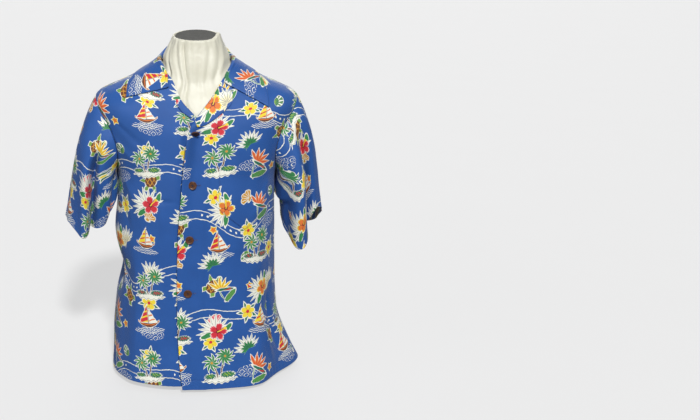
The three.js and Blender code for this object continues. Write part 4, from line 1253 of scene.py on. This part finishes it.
def sleeve(name, side, cuff, folds, closeness, offset, columns=150, rows=92):
    turn = np.linspace(0, 360, columns, endpoint=False)
    share = np.where(turn <= 180, 1 - turn / 180, (turn - 180) / 180)
    front_angles, front_along = armhole_place(share, False)
    back_angles, back_along = armhole_place(share, True)
    angle = side_angle(np.where(turn <= 180, front_angles, back_angles), side)
    along = np.where(turn <= 180, front_along, back_along)
    start = body_spot(angle, along)
    at = cuff.at(turn)
    end = np.stack([at["x"], at["y"], at["z"]], axis=-1)
    chord = np.linalg.norm(end - start, axis=-1)[:, None]
    broad = sin(turn) ** 2
    hug = bell(turn - UNDERARM_HUG["turn"], UNDERARM_HUG["spread"])
    leave = np.stack([
        side * (SLEEVE_LEAVE["out"] + SLEEVE_LEAVE["outBroad"] * broad - closeness["leave"] * hug),
        -SLEEVE_LEAVE["forward"] * sin(turn),
        SLEEVE_LEAVE["down"] + SLEEVE_LEAVE["downBroad"] * broad,
    ], axis=-1)
    arrive = np.stack([
        side * (SLEEVE_ARRIVE["out"] + closeness["arrive"] * hug),
        -SLEEVE_ARRIVE["forward"] * sin(turn),
        np.full(columns, SLEEVE_ARRIVE["down"]),
    ], axis=-1)
    t = shares(rows, 260)[:, None, None]
    points = (
        start * (1 + 2 * t) * (1 - t) ** 2
        + end * t * t * (3 - 2 * t)
        + leave * chord * t * (1 - t) ** 2
        - arrive * chord * t * t * (1 - t)
    )
    outwards = unit(points - points.mean(axis=1, keepdims=True))
    t = t[..., 0]
    rise = 0.4 * sin(turn * 5 + t * 700) * sin(t * 900 + turn * 2) * smoothstep(t, 0, 0.2)
    held = smoothstep(t, 0, 0.2) * (1 - smoothstep(t, closeness["from"], closeness["to"]))
    rise = rise + closeness["rise"] * hug * held
    for top, low, spread, begin, ramp, depth in folds:
        middle = lerp(top, low, t)
        rise = rise + depth * bell(turn_between(turn, middle), spread) * smoothstep(t, begin, begin + ramp)
    points = points + outwards * rise[..., None]
    normals = grid_normals(points, True, outwards)
    points = tucked(points, normals, ("bottom",))
    closed = np.concatenate([points, points[:, :1]], axis=1)
    round_length = lengths(closed, 1)
    down = lengths(closed, 0)
    pattern = np.stack([-side * round_length + offset[0], (down[-1:] - down) + offset[1]], axis=-1)
    turned_up = doubled((down[-1:] - down)[:, :columns], CUFF_TURN)
    cloth_piece(name, points, pattern, outwards, turned_up, True)


sleeve("sleeve_left", 1, CUFF_LEFT, LEFT_SLEEVE_FOLDS, HUG_LEFT, (40, 160))
sleeve("sleeve_right", -1, CUFF_RIGHT, RIGHT_SLEEVE_FOLDS, HUG_RIGHT, (-70, 20))


# Collar

def held_off(points, distance):
    """Points moved out so that they are at least this far off the body."""
    angles, alongs = np.meshgrid(np.arange(0, 360, 2.5), np.arange(500, NECK + 1, 3.0))
    near = body_point(angles, alongs).reshape(-1, 3)
    out = body_normal(angles, alongs).reshape(-1, 3)
    flat = points.reshape(-1, 3)
    best = np.array([np.argmin(((near - p) ** 2).sum(axis=1)) for p in flat])
    height = ((flat - near[best]) * out[best]).sum(axis=1)
    moved = flat + out[best] * np.maximum(0, distance - height)[:, None]
    return moved.reshape(points.shape)


def collar_sections(stations):
    left, right = COLLAR_LEFT.at(np.abs(stations)), COLLAR_RIGHT.at(np.abs(stations))
    at = {key: np.where(stations < 0, right[key], left[key]) for key in left}
    seam = body_point(at["angle"], at["along"])
    normal = body_normal(at["angle"], at["along"])
    outwards = unit(seam * (COLLAR_SPREAD, 1, 0))
    up = np.array((0, 0, 1.0))
    foot = seam + (normal + up) * 0.8
    end = smoothstep(np.abs(stations), COLLAR_TAPER, COLLAR_END)[:, None]
    stand = at["stand"][:, None] * (1 - end)
    roll = lerp(COLLAR_ROLL, COLLAR_END_ROLL, end)
    section = [foot + up * stand * k / 6 for k in range(6)]
    centre = foot + up * stand + outwards * roll
    for k in range(11):
        turn = math.pi * k / 10
        section.append(centre + roll * (up * math.sin(turn) - outwards * math.cos(turn)))
    start = section[-1]
    edge = np.stack([at["edgeX"], at["edgeY"], at["edgeZ"]], axis=-1)
    fall = np.stack([lerp(start, edge, k) for k in np.linspace(0, 1, 15)[1:]], axis=1)
    return np.concatenate([np.stack(section, axis=1), held_off(fall, COLLAR_CLEAR)], axis=1)


def smooth_upsample(grid, rows, columns):
    """A finer grid through the points of a coarse one, on Catmull-Rom curves."""
    for axis, count in ((0, rows), (1, columns)):
        size = grid.shape[axis]
        place = np.linspace(0, size - 1, count)
        k = np.clip(place.astype(int), 0, size - 2)
        t = (place - k).reshape([-1 if i == axis else 1 for i in range(3)])
        p = [np.take(grid, np.clip(k + i, 0, size - 1), axis=axis) for i in (-1, 0, 1, 2)]
        grid = 0.5 * (
            2 * p[1]
            + (p[2] - p[0]) * t
            + (2 * p[0] - 5 * p[1] + 4 * p[2] - p[3]) * t * t
            + (3 * p[1] - p[0] - 3 * p[2] + p[3]) * t ** 3
        )
    return grid


def collar():
    rows, columns = 240, 62
    sections = collar_sections(np.linspace(-COLLAR_END, COLLAR_END, 61))
    points = smooth_upsample(sections, rows, columns)
    wave = 0.35 * sin(np.arange(rows) * 9)[:, None] * sin(np.linspace(0, 170, columns))[None, :]
    points = points + grid_normals(points) * wave[..., None]
    along = lengths(points, 0).mean(axis=1)
    along = along - along[len(along) // 2]
    across = lengths(points, 1)
    pattern = np.stack([0 * across + 35 - along[:, None], 95 - across], axis=-1)
    cloth_piece("collar", points, pattern, thickness=COLLAR_THICK, inside=printed)
    normals = grid_normals(points)
    SHELLS["collar"] = points - normals * COLLAR_THICK, -normals  # its fall shows the other side


collar()


# Lapels: the facings turned out over the fronts, in one soft roll from the roll line

def lapel(name, table, lift, offset, rows=64, columns=22):
    place = np.linspace(0, table.places[-1], rows)
    at = {key: value[:, None] for key, value in table.at(place).items()}
    share = np.linspace(0, 1, columns)[None, :]
    x, z = lerp(at["rollX"], at["edgeX"], share), lerp(at["rollZ"], at["edgeZ"], share)
    angle, along = front_place(x, z)
    width = np.hypot(at["edgeX"] - at["rollX"], at["edgeZ"] - at["rollZ"])
    distance = share * width
    base = lift(x, along) + 0.8
    height = base + 2.2 * np.sqrt(np.clip(distance / 5, 0, 1)) * np.exp(-distance / 60) + 0.3
    points = body_spot(angle, along, height)
    outwards = body_normal(angle, along)
    pattern = np.stack([x * 1.02 + offset[0], z + offset[1]], axis=-1)
    cloth_piece(name, points, pattern, outwards, LAPEL_THICK, inside=printed)


lapel("lapel_left", LAPEL_LEFT, lap_lift, (120, 40))
lapel("lapel_right", LAPEL_RIGHT, lambda x, along: 0, (15, 130))


# Pocket

def pocket():
    share, down = np.meshgrid(shares(44, 110), shares(50, 120))
    x = lerp(POCKET["inner"], POCKET["outer"], share)
    top = POCKET["top"] - POCKET["drop"] * (x - POCKET["inner"])
    near, far = POCKET["middle"] - POCKET["inner"], POCKET["outer"] - POCKET["middle"]
    to_point = 1 - np.abs(x - POCKET["middle"]) / np.where(x < POCKET["middle"], near, far)
    depth = lerp(POCKET["side"], POCKET["point"], to_point)
    angle, along = front_place(x, top - depth * down)
    edge = np.minimum(np.minimum(share, 1 - share) * 110, (1 - down) * 120)
    puff = 1.1 * smoothstep(edge, 0, 26) + 0.5 * smoothstep(edge, 0, 1.5)
    mouth = 1.5 * bell(down * 120, 14) * smoothstep(np.minimum(share, 1 - share), 0, 0.25)
    points = body_spot(angle, along, lap_lift(x, along) + 0.7 + puff + mouth)
    outwards = body_normal(angle, along)
    pattern = np.stack([-arc_from(angle, along, 90) + 3, along - 2], axis=-1)
    cloth_piece("pocket", points, pattern, outwards, POCKET_THICK)


pocket()


# Dress form

# Folds of the satin on the neck: angle at the rim, spread, rise. They draw together towards the V.
NECK_FOLDS = [
    (22, 7, 1.2), (36, 6, -1.0), (50, 9, 1.0), (63, 4, -1.0), (73, 6, 1.0), (84, 5, -0.7), (95, 6, 1.1),
    (106, 4, 1.2), (118, 2.8, -4.4), (126, 5, 1.9), (135, 4, -1.2), (145, 6, 1.0), (157, 6, 1.5),
    (167, 4.5, -4.8), (178, 6, 0.8), (198, 9, 1.8), (221, 6, -1.6), (246, 9, 1.6), (272, 7, -1.9),
    (297, 9, 1.7), (322, 6, -1.8), (344, 8, 1.5),
]
NECK_DRAWN = {"low": 575, "high": 745, "least": 0.12}
RIM_PEAK = {"angle": 22, "spread": 18, "rise": 10}
RIM_DROP = 13
CAP_OVER, CAP_RISE, CAP_LEAN = 3.2, 2.4, 1.3
RIM = [(49.3, 0.7), (48.2, 1.1), (47.0, 0.5), (46.4, -0.8), (46.2, -3.5), (20, -3.5), (0.3, -3.5)]
RIM_INSIDE = 46.3
FORM_TURNS = 216
NECK_TOP = 757


def crimp(turn):
    """Uneven small gathers round the rim."""
    return sin(turn * 31 + 50 * sin(turn * 3))


def satin_rise(turn, z):
    """How far the satin's folds stand off the smooth form."""
    low, high = NECK_DRAWN["low"], NECK_DRAWN["high"]
    drawn = np.clip((z - low) / (high - low), NECK_DRAWN["least"], 1)
    rise = np.zeros(turn.shape)
    for angle, spread, depth in NECK_FOLDS:
        middle = 90 + turn_between(angle, 90) * drawn
        rise = rise + depth * bell(turn_between(turn, middle), spread * np.maximum(drawn, 0.3))
    rise = rise * smoothstep(z, 560, 640) * (1 - 0.55 * smoothstep(z, 735, NECK_TOP))
    gathers = 0.45 * crimp(turn) * smoothstep(z, 728, NECK_TOP)
    slack = 0.5 * sin(turn * 6 + z * 1.4) * sin(z * 0.9 - turn * 2)
    return rise + gathers + slack * smoothstep(z, 8, 60)


def neck_drop(points):
    """The neck's top leans forwards: its front rim is lower than its back."""
    return RIM_DROP * smoothstep(points[..., 2], 690, NECK_TOP) * (0.5 - points[..., 1] / 100)


def form():
    foot, body, neck = np.linspace(0, 8, 5), np.linspace(8, 620, 90), np.linspace(620, 849, 96)
    up = np.concatenate([foot[:-1], body, neck[1:]])
    turn = np.linspace(0, 360, FORM_TURNS, endpoint=False)
    rings = {key: value[:, None] for key, value in FORM_RINGS.at(up).items()}
    points = ring_point(rings, turn[None, :])
    outwards = unit(points * (1, 1, 0))
    rise = satin_rise(np.broadcast_to(turn, points.shape[:2]), points[..., 2])
    points = points + outwards * rise[..., None]
    peak = RIM_PEAK["rise"] * bell(turn_between(turn, RIM_PEAK["angle"]), RIM_PEAK["spread"])
    points[..., 2] += peak * smoothstep(points[..., 2], 715, NECK_TOP)
    for radius, step in RIM:
        on_rim = radius > RIM_INSIDE
        z = NECK_TOP + step + peak * on_rim
        radius = radius + 0.5 * crimp(turn) * on_rim
        ring = np.stack([radius * cos(turn), -radius * sin(turn), z], axis=-1)
        points = np.concatenate([points, ring[None]])
    points[..., 2] -= neck_drop(points)
    points = np.concatenate([points[:1] * (0.002, 0.002, 1), points])
    faces = [face[::-1] for face in tube_faces(len(points), FORM_TURNS)]
    cover = solid("form_cover", points.reshape(-1, 3), faces, satin)
    finish_piece(cover, "form_torso")


def tube_faces(rows, sides):
    """The faces of a closed stack of rings, with a cap at both ends."""
    rings, places = np.arange(rows - 1) * sides, np.arange(sides)
    r, c = (grid.ravel() for grid in np.meshgrid(rings, places, indexing="ij"))
    n = (c + 1) % sides
    quads = np.stack([r + c, r + n, r + sides + n, r + sides + c], axis=1)
    return quads.tolist() + [list(range(sides))[::-1], list(range((rows - 1) * sides, rows * sides))]


def solid(name, points, faces, material):
    """A closed mesh from points in millimetres, its faces turned out."""
    mesh = bpy.data.meshes.new(name)
    mesh.from_pydata((np.asarray(points) * MM).tolist(), [], faces)
    build = bmesh.new()
    build.from_mesh(mesh)
    bmesh.ops.recalc_face_normals(build, faces=build.faces)
    build.to_mesh(mesh)
    build.free()
    mesh.polygons.foreach_set("use_smooth", np.ones(len(mesh.polygons), bool))
    mesh.materials.append(material)
    return show(name, mesh)


def turned(profile, sides):
    """Points and faces of a turned solid round Z from (radius, height) rows that start and end near 0."""
    turn = np.linspace(0, 360, sides, endpoint=False)
    radius, z = (np.array(column, float)[:, None] for column in zip(*profile))
    points = np.stack(np.broadcast_arrays(radius * cos(turn), radius * sin(turn), z), axis=-1)
    return points.reshape(-1, 3), tube_faces(len(profile), sides)


def neck_cap():
    low, high = (np.array(v) * 1000 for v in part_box("form_neck_cap"))
    radius, top = (high[0] - low[0]) / 2 + CAP_OVER, NECK_TOP + CAP_RISE
    profile = [(0.4, low[2]), (radius - 1, low[2]), (radius, low[2] + 0.6), (radius, top - 1)]
    profile += [(radius - 0.4, top - 0.3), (radius - 1.2, top)]
    profile += [(r, top - 1.1 * (1 - (r / radius) ** 2)) for r in np.linspace(radius - 3, 0.4, 16)]
    points, faces = turned(profile, 96)
    points[:, 2] -= neck_drop(points) * CAP_LEAN
    finish_piece(solid("neck_cap", points, faces, cap_grey), "form_neck_cap")


form()
neck_cap()


# Sewing: each stitch is a small bar of thread that dips into the cloth at both ends

def bars(name, starts, ends, ups, radius, material, arch=0.35):
    """Joins many short rounded bars of thread in one mesh."""
    sides, share = 6, np.array((0, 0.12, 0.5, 0.88, 1))
    size = np.array((0.35, 0.85, 1, 0.85, 0.35)) * radius
    lift = np.array((-0.6, 0.3, 1, 0.3, -0.6)) * arch
    along = unit(ends - starts)
    across = unit(np.cross(along, ups))
    ups = np.cross(across, along)
    turn = np.linspace(0, 360, sides, endpoint=False)
    middle = lerp(starts[:, None], ends[:, None], share[:, None]) + ups[:, None] * lift[:, None]
    ring = across[:, None] * cos(turn)[:, None] + ups[:, None] * sin(turn)[:, None]
    points = middle[:, :, None] + ring[:, None] * size[:, None, None]
    one, count = tube_faces(len(share), sides), sides * len(share)
    faces = [[corner + k * count for corner in face] for k in range(len(starts)) for face in one]
    piece = solid(name, points.reshape(-1, 3), faces, material)
    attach(piece, "root")
    return piece


def inset_line(name, edge, inset):
    """The points and normals that lie this far in from one edge of a shell."""
    points, normals = SHELLS[name]
    if edge in ("bottom", "top"):
        points, normals = points.swapaxes(0, 1), normals.swapaxes(0, 1)
    if edge in ("last", "top"):
        points, normals = points[:, ::-1], normals[:, ::-1]
    across = lengths(points, 1)
    k = np.clip((across < inset).sum(axis=1) - 1, 0, points.shape[1] - 2)
    rows = np.arange(len(points))
    near, far = across[rows, k], across[rows, k + 1]
    t = ((inset - near) / (far - near))[:, None]
    line, ups = (lerp(grid[rows, k], grid[rows, k + 1], t) for grid in (points, normals))
    return line, unit(ups)


STITCH, STITCH_GAP, STITCH_RADIUS = 2.3, 0.9, 0.26


def stitches(line, normals, trim=(0, 0)):
    """Starts, ends and upward directions of the stitches along a line of points."""
    place = lengths(line[None], 1)[0]
    keep = np.concatenate([[True], np.diff(place) > 1e-6])
    place, line, normals = place[keep], line[keep], normals[keep]
    count = int((place[-1] - trim[0] - trim[1]) / (STITCH + STITCH_GAP))
    starts = trim[0] + (np.arange(count) + 0.5) * (STITCH + STITCH_GAP) - STITCH / 2

    def at(values, where):
        return np.stack([np.interp(where, place, values[:, k]) for k in range(3)], axis=-1)

    return at(line, starts), at(line, starts + STITCH), unit(at(normals, starts + STITCH / 2))


def sew(name, rows, material):
    """One mesh of stitches from rows of (shell, edge, inset, trim)."""
    parts = [stitches(*inset_line(shell, edge, inset), trim) for shell, edge, inset, trim in rows]
    starts, ends, ups = (np.concatenate(column) for column in zip(*parts))
    bars(name, starts + ups * 0.05, ends + ups * 0.05, ups, STITCH_RADIUS, material, arch=0.22)


# Each mesh of stitches: its rows' shell, edge, distance in and how far they stop short of both ends
SEAMS = {
    "stitches_hem": [
        ("front_left", "bottom", HEM_TURN, (2, 2)), ("front_right", "bottom", HEM_TURN, (2, 30)),
        ("back", "bottom", HEM_TURN, (2, 2)),
    ],
    "stitches_cuffs": [(name, "top", CUFF_TURN, (1, 1)) for name in ("sleeve_left", "sleeve_right")],
    "stitches_yoke": [
        ("yoke", "bottom", 1.8, (3, 3)), ("yoke", "first", 1.8, (2, 2)), ("yoke", "last", 1.8, (2, 2)),
    ],
    "stitches_collar": [
        ("collar", "top", 6, (6, 6)), ("collar", "first", 6, (14, 6)), ("collar", "last", 6, (14, 6)),
    ],
    "stitches_lapels": [
        ("lapel_left", "top", 5, (1, 5)), ("lapel_left", "last", 5, (8, 5)),
        ("lapel_right", "last", 4, (3, 3)),
    ],
    "stitches_pocket": [
        *(("pocket", edge, 1.6, (1, 1)) for edge in ("first", "last", "top")),
        ("pocket", "bottom", 19, (2, 2)),
    ],
}
for name, rows in SEAMS.items():
    sew(name, rows, thread)


# Buttons of coconut shell with four holes and a cross of thread, and their buttonholes

HOLE = {"out": 2.0, "radius": 0.95, "deep": 1.9, "turns": (45, 135, 225, 315)}
THREAD_RADIUS = 0.3
BUTTON = {"radius": 8.8, "thick": 3.0, "rim": 1.7, "dish": 0.85}
BUTTONHOLE = {"start": 7.4, "length": 9.5, "half": 0.9, "step": 0.5}


def button_face(x, y):
    """The wells of the four holes in a button's upper face."""
    well = np.zeros(np.broadcast(x, y).shape)
    for turn in HOLE["turns"]:
        far = np.hypot(x - HOLE["out"] * cos(turn), y - HOLE["out"] * sin(turn))
        well = np.maximum(well, 1 - smoothstep(far, HOLE["radius"] - 0.25, HOLE["radius"] + 0.15))
    return -HOLE["deep"] * well


def button_profile():
    r, thick, rim, dish = (BUTTON[key] for key in ("radius", "thick", "rim", "dish"))
    return [
        (0.2, 0), (r * 0.6, 0), (r - 1.0, 0.35), (r - 0.35, 0.9), (r, 1.5), (r - 0.1, thick - 0.75),
        (r - 0.45, thick - 0.25), (r - 1.0, thick), (r - rim, thick - 0.12),
        (r - rim - 0.7, thick - dish * 0.75),
        *((radius, thick - dish) for radius in np.linspace(r - rim - 1.5, 0.25, 34)),
    ]


def on_front(x, z):
    """A place on the left front as it lies, and the way out of it."""
    angle, along = front_place(x, z)
    spot = body_spot(angle, along, lap_lift(x, along))
    return spot, body_normal(angle, along)


def button(name, x, z, turn, tilt):
    spot, normal = on_front(x, z)
    points, faces = turned(button_profile(), 72)
    upper = points[:, 2] > BUTTON["thick"] - BUTTON["dish"] - 0.05
    inner = upper & (np.hypot(points[:, 0], points[:, 1]) < BUTTON["radius"] - BUTTON["rim"] - 1)
    points[inner, 2] += button_face(points[inner, 0], points[inner, 1])
    right = unit(np.cross((0, 0, 1.0), normal)) * -1
    spot = spot + normal * (0.5 + BUTTON["radius"] * 0.8 * sin(tilt))
    normal = cos(tilt) * normal + sin(tilt) * np.cross(normal, right)
    up = np.cross(normal, right)
    frame_rows = np.stack([cos(turn) * right + sin(turn) * up, cos(turn) * up - sin(turn) * right, normal])
    piece = solid(name + "_fine", points @ frame_rows + spot, faces, wood)
    finish_piece(piece, name)
    level = BUTTON["thick"] - BUTTON["dish"] + 0.1
    holes = np.array([(cos(a) * HOLE["out"], sin(a) * HOLE["out"], level) for a in HOLE["turns"]])
    holes = holes @ frame_rows + spot
    starts, ends = holes[[0, 1, 0, 1]], holes[[2, 3, 2, 3]]
    aside = np.cross(unit(ends - starts), normal) * np.array((0.22, 0.22, -0.22, -0.22))[:, None]
    ups = np.tile(normal, (4, 1))
    bars(name + "_thread", starts + aside, ends + aside, ups, THREAD_RADIUS, dark_thread, arch=0.5)


def buttonhole(name, x, z):
    """A short slit beyond the button, bound with close stitches on both sides and barred at its end."""
    first, half, gap = BUTTONHOLE["start"], BUTTONHOLE["half"], 0.25
    places = np.arange(first, first + BUTTONHOLE["length"], BUTTONHOLE["step"])
    rows = [(place, side * gap, side * (gap + half * 1.3)) for side in (-1, 1) for place in places]
    rows += [(places[-1] + step, -half * 1.4, half * 1.4) for step in (0.2, 0.7)]
    across, low, high = np.array(rows).T
    starts, ups = on_front(x + across, z + low)
    ends = on_front(x + across, z + high)[0]
    bars(name + "_hole", starts, ends, ups, THREAD_RADIUS, thread, arch=0.3)


for (name, x, z), turn, tilt in zip(BUTTONS, (12, 40, -20, 65), (64, 3, 0, 4)):
    button(name, x, z, turn, tilt)
    buttonhole(name, x, z)


# Floor, light and camera

FLOOR_RADIUS, FLOOR_SIDES = 60.0, 64


def stage():
    turn = np.linspace(0, 360, FLOOR_SIDES, endpoint=False)
    ring = np.stack([cos(turn), sin(turn), 0 * turn], axis=-1) * FLOOR_RADIUS
    mesh = bpy.data.meshes.new("floor")
    mesh.from_pydata(ring.tolist(), [], [tuple(range(FLOOR_SIDES))])
    mesh.materials.append(floor_finish())
    floor = show("floor", mesh)
    floor.visible_diffuse = floor.visible_glossy = False  # so that it throws no light back on the cloth


def sun(name, azimuth, elevation, strength, softness):
    """A soft distant light. Azimuth 0 is straight in front, and it grows to the wearer's left."""
    light = bpy.data.lights.new(name, "SUN")
    light.energy = strength
    light.angle = math.radians(softness)
    lamp = bpy.data.objects.new(name, light)
    bpy.context.scene.collection.objects.link(lamp)
    flat = math.cos(math.radians(elevation))
    place = Vector((math.sin(math.radians(azimuth)) * flat, -math.cos(math.radians(azimuth)) * flat,
                    math.sin(math.radians(elevation))))
    lamp.rotation_euler = place.to_track_quat("Z", "Y").to_euler()


stage()
sun("key", 10, 42, 3.4, 6)
sun("fill", -55, 12, 0.6, 50)
sun("back", 176, 22, 1.1, 50)


def studio_world():
    """A weak even light, seen as a pale backdrop beyond the floor."""
    world = bpy.data.worlds.new("studio")
    bpy.context.scene.world = world
    world.use_nodes = True
    tree = world.node_tree
    light = tree.nodes["Background"]
    backdrop = tree.nodes.new("ShaderNodeBackground")
    seen = tree.nodes.new("ShaderNodeLightPath").outputs["Is Camera Ray"]
    choice = tree.nodes.new("ShaderNodeMixShader")
    feed(tree, light.inputs, (0.97, 0.98, 1, 1), 0.2)
    feed(tree, backdrop.inputs, tint(238, 239, 240), 1)
    feed(tree, choice.inputs, seen, light.outputs[0], backdrop.outputs[0])
    tree.links.new(choice.outputs[0], tree.nodes["World Output"].inputs["Surface"])


studio_world()

CAMERA_DISTANCE = 2.2
CAMERA_ELEVATION = 16
CAMERA_AIM = 0.37
CAMERA_LENS, CAMERA_SENSOR, CAMERA_SHIFT = 51.43, 36, 0.2193  # the shirt stands left in the frame
camera = bpy.data.objects.new("camera", bpy.data.cameras.new("camera"))
bpy.context.scene.collection.objects.link(camera)
camera.data.sensor_width = CAMERA_SENSOR
camera.data.lens = CAMERA_LENS
camera.data.shift_x = CAMERA_SHIFT
camera.location = (
    0,
    -CAMERA_DISTANCE * math.cos(math.radians(CAMERA_ELEVATION)),
    CAMERA_AIM + CAMERA_DISTANCE * math.sin(math.radians(CAMERA_ELEVATION)),
)
camera.rotation_euler = (math.radians(90 - CAMERA_ELEVATION), 0, 0)
bpy.context.scene.camera = camera
bpy.context.scene.view_settings.view_transform = "Standard"
